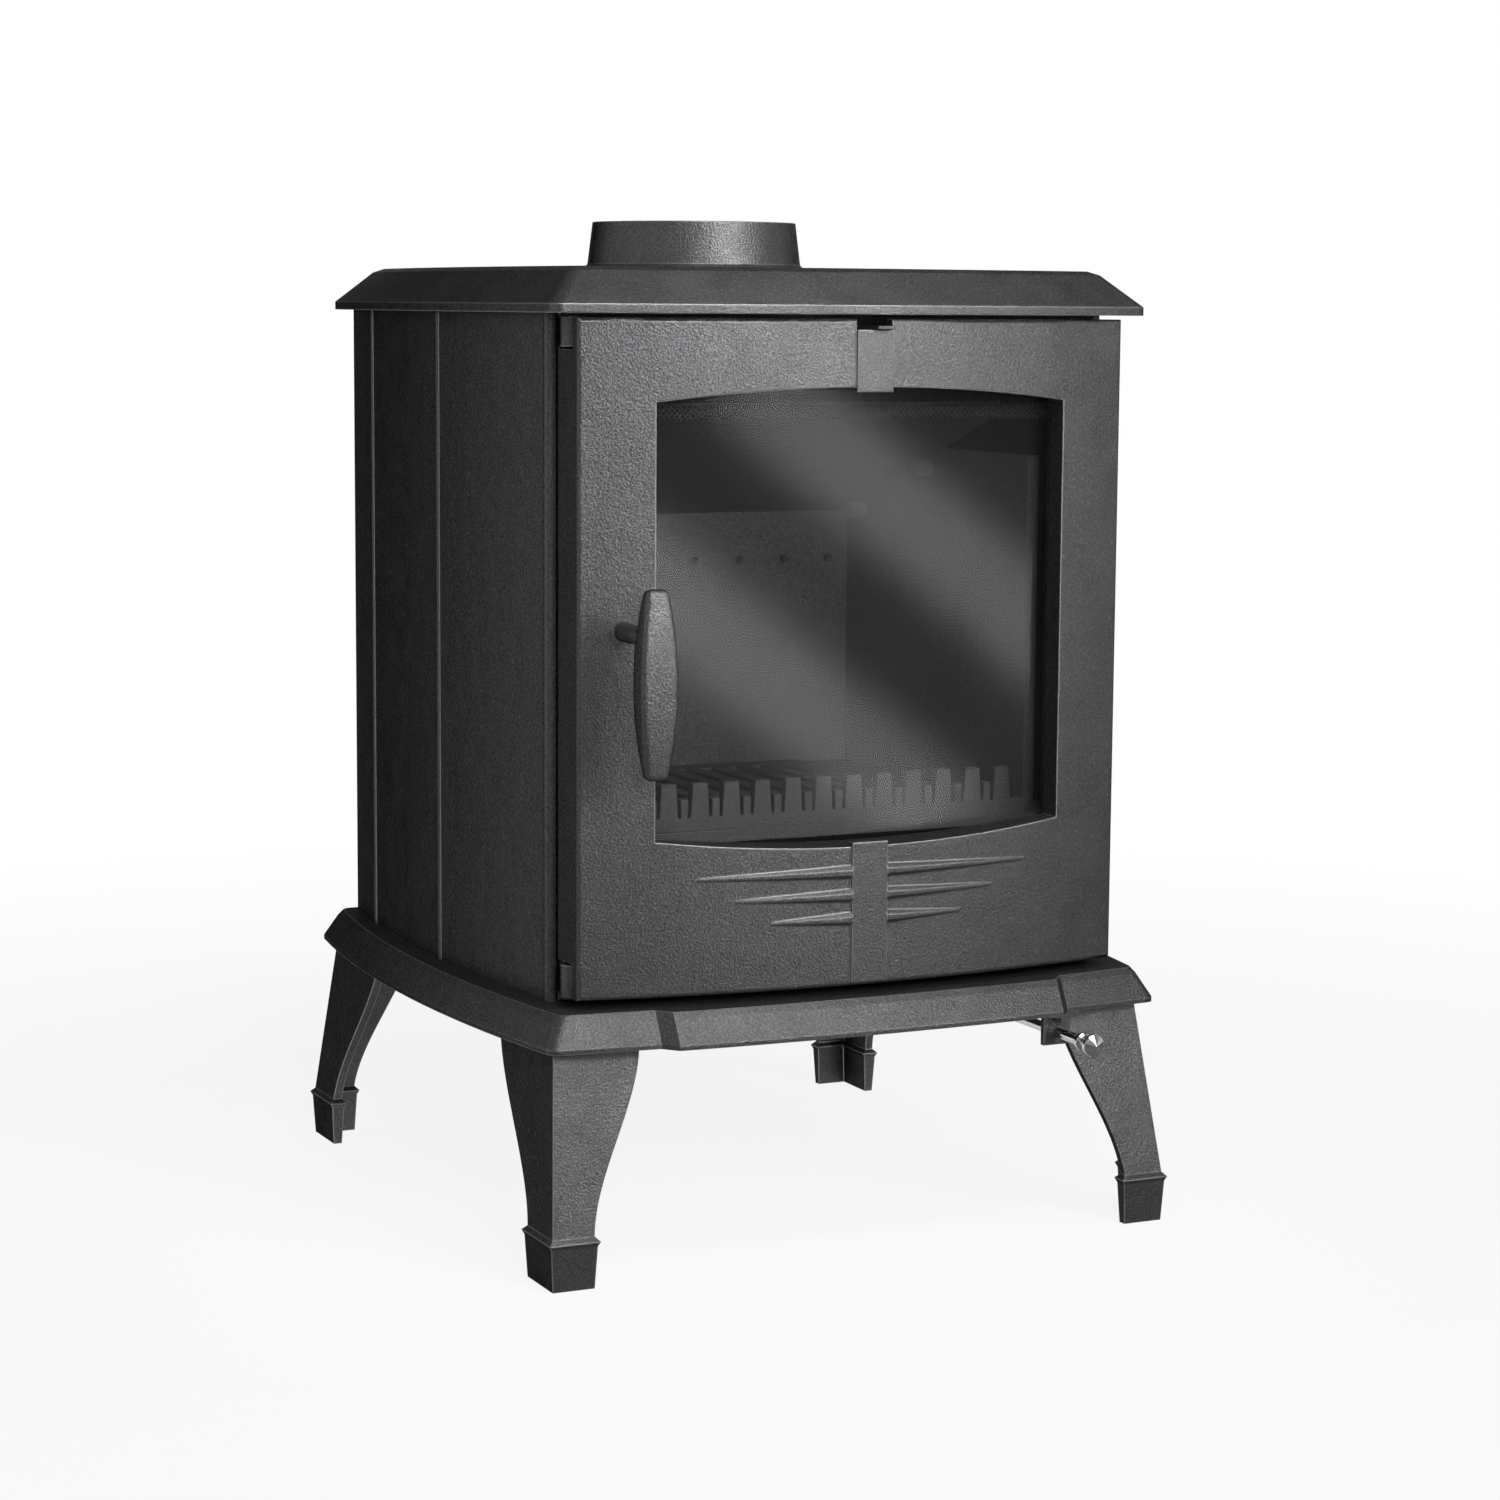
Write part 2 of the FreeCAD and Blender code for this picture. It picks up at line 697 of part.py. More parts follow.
def leg_section(side, end, share, flare):
    """The L of a leg at a share of its height above the foot, where flare opens its two flanges."""
    foot_x, foot_y = "(foot_half_width - foot_lip)", "(foot_reach - foot_lip)"
    x = f"{side} * ({foot_x} + ({LEG_TOP_X} - {foot_x}) * {share})"
    y = f"{end} * ({foot_y} + ({LEG_TOP_Y} - {foot_y}) * {share})"
    front_width = f"(shin_front + (hip_front - shin_front) * {flare})"
    side_width = f"(shin_side + (hip_side - shin_side) * {flare})"
    inner_x = f"{x} - {side} * {front_width}"
    inner_y = f"{y} - {end} * {side_width}"
    wall_x = f"{x} - {side} * leg_wall"
    wall_y = f"{y} - {end} * leg_wall"
    return loop([(x, y), (inner_x, y), (inner_x, wall_y), (wall_x, wall_y), (wall_x, inner_y), (x, inner_y)])


def foot_section(side, end, lip):
    """The L of a leg's shoe, which stands proud of the shin by lip on every side."""
    x = f"{side} * (foot_half_width - foot_lip + {lip})"
    y = f"{end} * (foot_reach - foot_lip + {lip})"
    inner_x = f"{side} * (foot_half_width - foot_lip - shin_front - {lip})"
    inner_y = f"{end} * (foot_reach - foot_lip - shin_side - {lip})"
    wall_x = f"{side} * (foot_half_width - foot_lip - leg_wall - {lip})"
    wall_y = f"{end} * (foot_reach - foot_lip - leg_wall - {lip})"
    return loop([(x, y), (inner_x, y), (inner_x, wall_y), (wall_x, wall_y), (wall_x, inner_y), (x, inner_y)])


def swell(share):
    """A smooth rise from 0 to 1, slow at both ends."""
    return share ** 2 * (3 - 2 * share)


def make_leg(name, side, end):
    leg = new_body(name)
    loft(leg, "XY", [
        ("0", foot_section(side, end, "0")),
        ("foot_height - 2 * foot_lip", foot_section(side, end, "(foot_lip / 2)")),
        ("foot_height - foot_lip", foot_section(side, end, "foot_lip")),
        ("foot_height", foot_section(side, end, "0")),
    ])
    shares = [step / LEG_STEPS for step in range(LEG_STEPS + 1)]
    loft(leg, "XY", [
        (f"foot_height + (leg_height - foot_height) * {share}", leg_section(side, end, share, swell(share)))
        for share in shares
    ], ruled=False)
    inner_x = f"{side} * ({LEG_TOP_X} - leg_wall / 2)"
    inner_y = f"{end} * ({LEG_TOP_Y} - leg_wall / 2)"
    far_x = f"{side} * ({LEG_TOP_X} - leg_wall - lug_size)"
    far_y = f"{end} * ({LEG_TOP_Y} - leg_wall - lug_size)"
    grow(leg, "XY", "leg_height - lug_thickness", "leg_height", [box(inner_x, inner_y, far_x, far_y)])
    bolt = circle(f"{side} * {LEG_BOLT_X}", f"{end} * {LEG_BOLT_Y}", "leg_bolt_radius + hole_gap")
    carve(leg, "XY", "leg_height - lug_thickness", "leg_height", [bolt])


def make_legs():
    for end, depth in ENDS.items():
        for side, way in SIDES.items():
            make_leg(f"leg_{end}_{side}", way, depth)
    lug_under = "leg_height - lug_thickness"
    head = ("leg_bolt_head", f"{lug_under} - leg_bolt_head_height", lug_under)
    shank = ("leg_bolt_radius", lug_under, "leg_height + leg_bolt_depth")
    fasteners("leg_bolts", "XY", LEG_BOLTS, head, shank, nut_head=True)


# The shell: side panels, back panel, front frame, lid and the rods that hold it together
def make_side_panel(name, side):
    panel = new_body(name)
    outside = "shell_half_width"
    wall_strip = loop(
        [(PANEL_INSIDE, "-panel_front"), (outside, "-panel_front"), (outside, "panel_rear"),
         (PANEL_INSIDE, "panel_rear")],
        {1: "side_bow", 3: "-side_bow"})
    lines = [
        circle(f"{outside} + {panel_bulge(y)} + line_proud - line_radius", y, "line_radius")
        for y in ("rear_line_y", "middle_line_y")
    ]
    bead = circle(f"{outside} + bead_proud - bead_radius", "-panel_front", "bead_radius")
    outer = f"{outside} + {panel_bulge('ledge_rear')} - wall / 2"
    ledge = loop(
        [(f"{PANEL_INSIDE} - ledge_depth", "-ledge_front"), (outer, "-ledge_front"), (outer, "ledge_rear"),
         (f"{PANEL_INSIDE} - ledge_depth", "ledge_rear")],
        {1: "side_bow * ((ledge_front + ledge_rear) / (panel_front + panel_rear))^2"})
    placed = (lambda shape: shape) if side > 0 else mirrored
    grow(panel, "XY", BASE_TOP, LID_UNDER, [placed(wall_strip)])
    grow(panel, "XY", BASE_TOP, LID_UNDER, [placed(line) for line in lines])
    grow(panel, "XY", BASE_TOP, LID_UNDER, [placed(bead)])
    grow(panel, "XY", "hearth_level - ledge_height", "hearth_level", [placed(ledge)])


def make_back_panel():
    back = new_body("back_panel")
    sheet_box = box(f"-{FRAME_HALF_WIDTH}", BASE_TOP, FRAME_HALF_WIDTH, LID_UNDER)
    grow(back, "XZ", "-panel_rear", "wall - panel_rear", [sheet_box])
    outer = rounded_box(f"-{FRAME_HALF_WIDTH} + wall", f"{BASE_TOP} + wall", f"{FRAME_HALF_WIDTH} - wall",
                        f"{LID_UNDER} - wall", "border_width")
    reach = "(wall + border_width)"
    inner = rounded_box(f"-{FRAME_HALF_WIDTH} + {reach}", f"{BASE_TOP} + {reach}",
                        f"{FRAME_HALF_WIDTH} - {reach}", f"{LID_UNDER} - {reach}", "wall")
    grow(back, "XZ", "-panel_rear - border_proud", "wall / 2 - panel_rear", [outer, inner])
    inlet_level = f"{BASE_TOP} + inlet_height"
    inlets = [circle(f"inlet_pitch * {step}", inlet_level, "inlet_radius") for step in steps(INLETS_EACH_WAY)]
    carve(back, "XZ", "-panel_rear", "wall - panel_rear", inlets)


def hinge_lug():
    """A hinge lug seen from above, with a round nose about the hinge pin."""
    root = "-(frame_front - wall / 2)"
    return loop([
        ("hinge_x - lug_radius", "-hinge_front"), ("hinge_x + lug_radius", "-hinge_front"),
        (FRAME_HALF_WIDTH, "-hinge_front + lug_neck"), (FRAME_HALF_WIDTH, root),
        ("hinge_x - lug_radius", root),
    ], {0: f"lug_radius * {ALMOST_HALF_CIRCLE}"})


def make_front_frame():
    frame = new_body("front_frame")
    outline = box(f"-{FRAME_HALF_WIDTH}", BASE_TOP, FRAME_HALF_WIDTH, LID_UNDER)
    grow(frame, "XZ", FRAME_BACK, "frame_front", [outline])
    opening = rounded_box(f"-{RIM_INSIDE}", OPENING_LOW, RIM_INSIDE, OPENING_HIGH, "frame_corner")
    lever_left = "lever_x - lever_half_width - lever_travel - lever_room"
    lever_right = "lever_x + lever_half_width + lever_room"
    slot_top = "lever_level + channel_sheet + lever_room"
    slot = box(lever_left, "lever_level - lever_room", lever_right, slot_top)
    screw_holes = circles(CHANNEL_SCREWS, "channel_screw_radius + hole_gap")
    carve(frame, "XZ", FRAME_BACK, "frame_front", [opening, slot])
    carve(frame, "XZ", FRAME_BACK, "frame_front - blind_wall", screw_holes)
    lugs = both_sides([hinge_lug()])
    grow(frame, "XY", DOOR_LOW, f"{DOOR_LOW} + lug_low_height", lugs)
    grow(frame, "XY", f"{DOOR_HIGH} - lug_high_height", DOOR_HIGH, lugs)
    bore = circle("hinge_x", "-hinge_front", "pin_radius + running_gap")
    carve(frame, "XY", DOOR_LOW, DOOR_HIGH, [bore])


def make_lid():
    lid = new_body("top_plate")
    grow(lid, "XY", LID_UNDER, LID_EDGE, [lid_outline("0")])
    loft(lid, "XY", [
        (LID_EDGE, lid_outline("0")),
        (f"{LID_TOP} - lid_round_drop", lid_outline("(lid_bevel - lid_round)")),
        (LID_TOP, lid_outline("lid_bevel")),
    ])
    chamber_front = f"({FRAME_BACK} + lid_bevel)"
    chamber = plate_outline("(lid_bevel + joint_gap)", LID_HALF_WIDTH, chamber_front, LID_REAR, "joint_gap",
                            "side_bow", "lid_corner")
    carve(lid, "XY", LID_UNDER, LID_CEILING, [chamber])
    porch_half = f"({PANEL_INSIDE} - lid_bevel)"
    porch_front = f"({LID_FRONT} - wall)"
    porch_back = "(frame_front + wall)"
    porch = loop([(f"-{porch_half}", f"-{porch_front}"), (porch_half, f"-{porch_front}"),
                  (porch_half, f"-{porch_back}"), (f"-{porch_half}", f"-{porch_back}")],
                 {0: f"(door_bow * ({porch_half} / {LID_HALF_WIDTH})^2)"})
    carve(lid, "XY", LID_UNDER, f"{LID_EDGE} + wall / 2", [porch])
    bosses = circles(TIE_RODS, "tie_boss_radius")
    rod_holes = circles(TIE_RODS, "tie_radius + hole_gap")
    grow(lid, "XY", f"{LID_UNDER} + joint_gap", f"{LID_CEILING} + wall / 2", bosses)
    carve(lid, "XY", LID_UNDER, f"{LID_UNDER} + joint_gap + tie_grip", rod_holes)
    flue = circle("0", "flue_offset", "flue_radius - flue_stop")
    carve(lid, "XY", LID_CEILING, LID_TOP, [flue] + circles(COLLAR_SCREWS, "collar_screw_radius + hole_gap"))


def make_collar():
    collar = new_body("flue_collar", depth="-flue_offset", z=LID_TOP)
    profile = loop([
        ("flue_radius", "0"), ("collar_root_radius + collar_fillet", "0"),
        ("collar_root_radius", "collar_fillet"), ("collar_top_radius", "collar_height"),
        ("flue_radius", "collar_height"),
    ])
    revolve(collar, "XZ", profile)
    screw_holes = circles(COLLAR_RING, "collar_screw_radius + hole_gap")
    carve(collar, "XY", "0", "collar_screw_depth + hole_gap", screw_holes)
    head = ("collar_screw_head", f"{LID_CEILING} - collar_screw_radius", LID_CEILING)
    shank = ("collar_screw_radius", LID_CEILING, f"{LID_TOP} + collar_screw_depth")
    fasteners("flue_collar_screws", "XY", COLLAR_SCREWS, head, shank)


def make_tie_rods():
    rods = new_body("tie_rods")
    nut_under = f"({BASE_CEILING} - tie_nut_height)"
    grow(rods, "XY", f"{nut_under} - tie_tail", f"{LID_UNDER} + tie_grip", circles(TIE_RODS, "tie_radius"))
    nuts = new_body("tie_rod_nuts")
    grow(nuts, "XY", nut_under, BASE_CEILING, [hexagon(x, y, "tie_nut_radius") for x, y in TIE_RODS])
    carve(nuts, "XY", nut_under, BASE_CEILING, circles(TIE_RODS, "tie_radius + running_gap"))


# The fire chamber: hearth plate, grate, liners, baffle, log guard and ash pan
def make_hearth():
    hearth = new_body("hearth_plate")
    front = f"-({FRAME_BACK} - joint_gap)"
    outline = loop([
        ("-hearth_tongue", front), ("hearth_tongue", front), ("hearth_tongue", "-hearth_front"),
        ("hearth_half_width", "-hearth_front"), ("hearth_half_width", "hearth_rear"),
        ("-hearth_half_width", "hearth_rear"), ("-hearth_half_width", "-hearth_front"),
        ("-hearth_tongue", "-hearth_front"),
    ])
    hole_x = "grate_half_width - grate_ledge"
    hole_y = "grate_half_depth - grate_ledge"
    hole = box(f"-({hole_x})", f"-({hole_y})", hole_x, hole_y)
    grow(hearth, "XY", "hearth_level", HEARTH_TOP, [outline, hole])


def make_grate():
    grate = new_body("grate")
    top = f"{HEARTH_TOP} + grate_thickness"
    outline = rounded_box("-grate_half_width", "-grate_half_depth", "grate_half_width", "grate_half_depth",
                          "grate_ledge")
    grow(grate, "XY", HEARTH_TOP, top, [outline])
    slot_end = "(grate_half_depth - 2 * grate_ledge)"
    middles = [f"grate_pitch * {step}" for step in steps(GRATE_SLOTS_EACH_WAY)]
    slots = [box(f"{x} - grate_slot / 2", f"-{slot_end}", f"{x} + grate_slot / 2", slot_end) for x in middles]
    carve(grate, "XY", HEARTH_TOP, top, slots)


def make_side_liner(name, side):
    liner = new_body(name)
    near = "liner_face" if side > 0 else "-(liner_face + liner_thickness)"
    rear = "liner_back_face + liner_thickness"
    slab = box("-liner_front", HEARTH_TOP, rear, f"{HEARTH_TOP} + liner_height")
    grow(liner, "YZ", near, f"{near} + liner_thickness", [slab])
    places = [f"({BAFFLE_REAR} - peg_rear - peg_spacing * {step})" for step in range(2)]
    drop = f"(peg_radius * {BAFFLE_SLANT} + seat_gap)"
    pegs = [circle(y, f"{baffle_under(y)} - {drop}", "peg_radius") for y in places]
    start = "liner_face - peg_length" if side > 0 else "-(liner_face + liner_thickness / 2)"
    grow(liner, "YZ", start, f"{start} + peg_length + liner_thickness / 2", pegs)


def make_back_liner():
    liner = new_body("back_liner")
    half = "(liner_face - joint_gap)"
    rear = "-(liner_back_face + liner_thickness)"
    slab = box(f"-{half}", HEARTH_TOP, half, f"{HEARTH_TOP} + liner_height - back_liner_drop")
    grow(liner, "XZ", rear, "-liner_back_face", [slab])
    places = [(f"air_hole_pitch * {step}", "air_hole_level") for step in steps(AIR_HOLES_EACH_WAY)]
    holes = circles(places, "air_hole_radius")
    carve(liner, "XZ", rear, "-liner_back_face", holes)


def make_baffle():
    baffle = new_body("baffle_plate")
    front = f"({BAFFLE_REAR} - baffle_run)"
    low, high = baffle_under(BAFFLE_REAR), baffle_under(front)
    slab = loop([(front, high), (BAFFLE_REAR, low), (BAFFLE_REAR, f"{low} + baffle_thickness"),
                 (front, f"{high} + baffle_thickness")])
    half = "(liner_face - baffle_side_gap)"
    grow(baffle, "YZ", f"-{half}", half, [slab])


def make_log_guard():
    """A comb of tall tapered teeth with a short tooth in each gap, on a rail."""
    guard = new_body("log_guard")
    rail_top = f"({HEARTH_TOP} + guard_rail)"
    tall = f"({HEARTH_TOP} + guard_tooth)"
    short = f"({HEARTH_TOP} + guard_short_tooth)"
    end = "guard_half_length"
    corners = [(f"-{end}", HEARTH_TOP), (end, HEARTH_TOP), (end, rail_top)]
    for step in reversed(steps(GUARD_TEETH_EACH_WAY)):
        x = f"guard_pitch * {step}"
        corners += [
            (f"{x} + guard_tooth_root", rail_top), (f"{x} + guard_tooth_tip", tall),
            (f"{x} - guard_tooth_tip", tall), (f"{x} - guard_tooth_root", rail_top),
        ]
        gap = f"guard_pitch * {step - 0.5}"
        if step > -GUARD_TEETH_EACH_WAY:
            corners += [
                (f"{gap} + guard_short_half", rail_top), (f"{gap} + guard_short_half", short),
                (f"{gap} - guard_short_half", short), (f"{gap} - guard_short_half", rail_top),
            ]
    corners.append((f"-{end}", rail_top))
    grow(guard, "XZ", GUARD_BACK, f"{GUARD_BACK} + guard_thickness", [loop(corners)])


def make_ash_pan():
    pan = new_body("ash_pan")
    top = f"{OPENING_LOW} + pan_height"
    grow(pan, "XY", OPENING_LOW, top, [box("-pan_half_width", "-pan_front", "pan_half_width", "pan_rear")])
    inside = box("-pan_half_width + pan_sheet", "-pan_front + pan_sheet", "pan_half_width - pan_sheet",
                 "pan_rear - pan_sheet")
    carve(pan, "XY", f"{OPENING_LOW} + pan_sheet", top, [inside])


# The door with its window, seals and hinge pins
def plate_middle(x):
    return door_depth(x, "door_plate / 2")


def door_block(half, back):
    """A block seen from above, from a flat back to the middle of the bowed door plate."""
    edge = plate_middle(half)
    bow = f"(door_bow * (({half}) / door_half_width)^2)"
    corners = [(f"-{half}", f"-{edge}"), (half, f"-{edge}"), (half, f"-{back}"), (f"-{half}", f"-{back}")]
    return loop(corners, {0: bow})


def window_outline(grow_by="0"):
    wide = f"(window_half_width + {grow_by})"
    low = f"(window_low - {grow_by})"
    high = f"(window_high + {grow_by})"
    corners = [(f"-{wide}", low), (wide, low), (wide, high), (f"-{wide}", high)]
    return loop(corners, {0: "window_bow", 2: "window_bow"})


def rib_section(x, level, proud, half):
    """A rib cut across at x: a low rounded ridge of three facets that stands on the door face."""
    root = f"-{plate_middle(x)}"
    shoulder = f"-({door_depth(x)} + {proud} * {RIB_SHOULDER_PROUD})"
    face = f"-({door_depth(x)} + {proud})"
    wide = f"{half} * {RIB_SHOULDER_SHARE}"
    narrow = f"{half} * {RIB_FACE_SHARE}"
    return loop([
        (root, f"{level} - {half}"), (root, f"{level} + {half}"), (shoulder, f"{level} + {wide}"),
        (face, f"{level} + {narrow}"), (face, f"{level} - {narrow}"), (shoulder, f"{level} - {wide}"),
    ])


def add_rib(door, side, step):
    level = f"(rib_level + rib_pitch * {step})"
    root = "(bar_half_width - joint_gap)"
    length = f"(rib_length + rib_length_step * {step})"
    sections = []
    for share in (0, 0.5, 1):
        x = f"({side} * ({root} + {length} * {share}))"
        proud = f"(rib_proud * {1 - (1 - RIB_TIP_PROUD) * share})"
        half = f"(rib_half_height * {1 - (1 - RIB_TIP_HEIGHT) * share})"
        sections.append((x, rib_section(x, level, proud, half)))
    loft(door, "YZ", sections, ruled=False)


def is_front_edge(edge):
    """An edge of the door plate that lies in its bowed front face."""
    return edge.BoundBox.YMax <= EDGE_TOLERANCE - measure("door_front")


def make_door():
    door = new_body("door_casting")
    half = "door_half_width"
    plate = loop([(f"-{half}", "-door_front"), (half, "-door_front"), (half, f"-{PLATE_BACK}"),
                  (f"-{half}", f"-{PLATE_BACK}")], {0: "door_bow", 2: "-door_bow"})
    grow(door, "XY", DOOR_LOW, DOOR_HIGH, [plate])
    round_edges(door, "door_edge_round", is_front_edge)
    surround = "(window_half_width + window_wall)"
    grow(door, "XY", "window_low - window_bow - window_lip", "window_high + window_bow + window_lip",
         [door_block(surround, PLATE_BACK)])
    grow(door, "XY", RIM_LOW, OPENING_LOW, [door_block(half, RIM_BACK)])
    grow(door, "XY", OPENING_HIGH, RIM_HIGH, [door_block(half, RIM_BACK)])
    stile = loop([(RIM_INSIDE, f"-{plate_middle(RIM_INSIDE)}"), (half, f"-{plate_middle(half)}"),
                  (half, f"-{RIM_BACK}"), (RIM_INSIDE, f"-{RIM_BACK}")])
    grow(door, "XY", RIM_LOW, RIM_HIGH, both_sides([stile]))
    carve(door, "XZ", RIM_BACK, "door_front + door_bow", [window_outline()])
    groove = [
        rounded_box(f"-(rope_half_width + {GROOVE_HALF})", f"(rope_below - {GROOVE_HALF})",
                    f"(rope_half_width + {GROOVE_HALF})", f"(rope_above + {GROOVE_HALF})",
                    f"(rope_corner + {GROOVE_HALF})"),
        rounded_box(f"-(rope_half_width - {GROOVE_HALF})", f"(rope_below + {GROOVE_HALF})",
                    f"(rope_half_width - {GROOVE_HALF})", f"(rope_above - {GROOVE_HALF})",
                    f"(rope_corner - {GROOVE_HALF})"),
    ]
    carve(door, "XZ", RIM_BACK, GROOVE_FLOOR, groove)
    bore = circle("hinge_x", "-hinge_front", "pin_radius + running_gap")
    carve(door, "XY", RIM_LOW, f"{RIM_LOW} + pin_depth + joint_gap", [bore])
    carve(door, "XY", f"{RIM_HIGH} - pin_depth - joint_gap", RIM_HIGH, [bore])
    spindle_back = f"{PLATE_BACK} - handle_boss_back"
    grow(door, "XZ", spindle_back, "door_front", [circle("-handle_x", "handle_height", "handle_boss_radius")])
    spindle_bore = circle("-handle_x", "handle_height", "spindle_radius + running_gap")
    carve(door, "XZ", spindle_back, "door_front + door_bow", [spindle_bore])
    grow(door, "XZ", GLASS_BACK, "door_front", circles(SIDE_CLIPS, "clip_boss_radius"))
    low_boss_front = plate_middle("clip_x + clip_boss_radius")
    grow(door, "XZ", GLASS_BACK, low_boss_front, circles(LOW_CLIPS, "clip_boss_radius"))
    screw_holes = circles(SIDE_CLIPS + LOW_CLIPS, "clip_screw_radius + hole_gap")
    carve(door, "XZ", GLASS_BACK, f"{GLASS_BACK} + clip_screw_depth + hole_gap", screw_holes)
    bar = loop([("-bar_half_width", f"-{plate_middle('bar_half_width')}"),
                ("-bar_half_width", f"-({door_depth('bar_half_width')} + bar_proud)"),
                ("bar_half_width", f"-({door_depth('bar_half_width')} + bar_proud)"),
                ("bar_half_width", f"-{plate_middle('bar_half_width')}")])
    grow(door, "XY", f"{DOOR_LOW} + door_edge_round", "window_low - window_bow + bar_overlap", [bar])
    grow(door, "XY", "window_high + window_bow - bar_overlap", f"{DOOR_HIGH} - notch_depth", [bar])
    for side in SIDES.values():
        for step in (-1, 0, 1):
            add_rib(door, side, step)
    notch = box("-bar_half_width", f"{DOOR_HIGH} - notch_depth", "bar_half_width", DOOR_HIGH)
    carve(door, "XZ", PLATE_BACK, "door_front + door_bow", [notch])


def make_rope_seal():
    rope = new_body("door_rope_seal")
    route = rounded_box("-rope_half_width", "rope_below", "rope_half_width", "rope_above", "rope_corner")
    spine = add_sketch(rope, "XZ", ROPE_DEPTH, [route])
    ring = add_sketch(rope, "XY", "(rope_below + rope_above) / 2",
                      [circle("rope_half_width", f"-{ROPE_DEPTH}", "rope_radius")])
    pipe = rope.newObject("PartDesign::AdditivePipe", "rope_pipe")
    pipe.Profile = ring
    pipe.Spine = (spine, [f"Edge{number}" for number in range(1, 9)])
    doc.recompute()


def make_glass():
    glass = new_body("door_glass")
    pane = rounded_box("-glass_half_width", "glass_low", "glass_half_width", "glass_high", "window_lip")
    grow(glass, "XZ", GLASS_BACK, GLASS_FRONT, [pane])
    tape = new_body("glass_seal_tape")
    inner = window_outline("joint_gap")
    outer = box("-glass_half_width", "glass_low", "glass_half_width", "glass_high")
    grow(tape, "XZ", GLASS_FRONT, PLATE_BACK, [outer, inner])


def make_clips():
    clips = new_body("glass_clips")
    shapes = []
    for x, z in SIDE_CLIPS[:2]:
        shapes += both_sides([box("glass_half_width - clip_grip", f"{z} - clip_half_width",
                                  f"{x} + clip_boss_radius", f"{z} + clip_half_width")])
    for x, z in LOW_CLIPS:
        shapes.append(box(f"{x} - clip_half_width", f"{z} - clip_boss_radius", f"{x} + clip_half_width",
                          "glass_low + clip_grip"))
    clip_back = f"({GLASS_BACK} - clip_thickness)"
    grow(clips, "XZ", clip_back, GLASS_BACK, shapes)
    places = SIDE_CLIPS + LOW_CLIPS
    carve(clips, "XZ", clip_back, GLASS_BACK, circles(places, "clip_screw_radius + hole_gap"))
    head = ("clip_screw_head", f"{clip_back} - clip_screw_head_height", clip_back)
    shank = ("clip_screw_radius", clip_back, f"{GLASS_BACK} + clip_screw_depth")
    fasteners("glass_clip_screws", "XZ", places, head, shank)


def make_hinge_pins():
    pins = new_body("hinge_pins")
    pin = [circle("hinge_x", "-hinge_front", "pin_radius")]
    grow(pins, "XY", DOOR_LOW, f"{RIM_LOW} + pin_depth", pin)
    grow(pins, "XY", f"{RIM_HIGH} - pin_depth", DOOR_HIGH, pin)


# The handle that turns the latch
def grip_section(width, thickness):
    """The grip cut level, in its own frame about the spindle."""
    half = f"({width} / 2)"
    middle = f"-({GRIP_BACK} + grip_thickness / 2)"
    front = f"({middle} - {thickness} / 2)"
    back = f"({middle} + {thickness} / 2)"
    return rounded_box(f"-{half}", front, half, back, "grip_round")


def make_handle():
    grip = new_body("handle_grip", x="-handle_x", z="handle_height")
    end = grip_section("grip_end_width", "grip_end_thickness")
    loft(grip, "XY", [
        ("-grip_down", end),
        ("(grip_up - grip_down) / 2", grip_section("grip_width", "grip_thickness")),
        ("grip_up", end),
    ], ruled=False)
    socket = circle("0", "0", "spindle_radius + running_gap")
    socket_end = f"{GRIP_BACK} + spindle_bite"
    carve(grip, "XZ", GRIP_BACK, f"{socket_end} + running_gap", [socket])
    spindle = new_body("handle_spindle", x="-handle_x", z="handle_height")
    grow(spindle, "XZ", TONGUE_FRONT, socket_end, [circle("0", "0", "spindle_radius")])
    grow(spindle, "XZ", f"{NUT_BACK} - thread_tail", TONGUE_FRONT, [circle("0", "0", "thread_radius")])
    tongue = new_body("latch_tongue", x="-handle_x", z="handle_height")
    blade = rounded_box("-tongue_half_width", "-tongue_length", "tongue_half_width", "tongue_heel",
                        "tongue_round")
    grow(tongue, "XZ", TONGUE_BACK, TONGUE_FRONT, [blade, circle("0", "0", "thread_radius + running_gap")])
    nut = new_body("spindle_nut", x="-handle_x", z="handle_height")
    hole = circle("0", "0", "thread_radius + running_gap")
    grow(nut, "XZ", NUT_BACK, TONGUE_BACK, [hexagon("0", "0", "nut_radius"), hole])


# The airwash control above the door
def air_slots(shift="0"):
    middle = f"(-({FRAME_BACK} + {CHANNEL_BACK}) / 2)"
    front = f"{middle} - air_slot_width / 2"
    back = f"{middle} + air_slot_width / 2"
    places = [f"air_slot_pitch * {step} + {shift}" for step in steps(AIR_SLOTS_EACH_WAY)]
    return [box(f"{x} - air_slot_length / 2", front, f"{x} + air_slot_length / 2", back) for x in places]


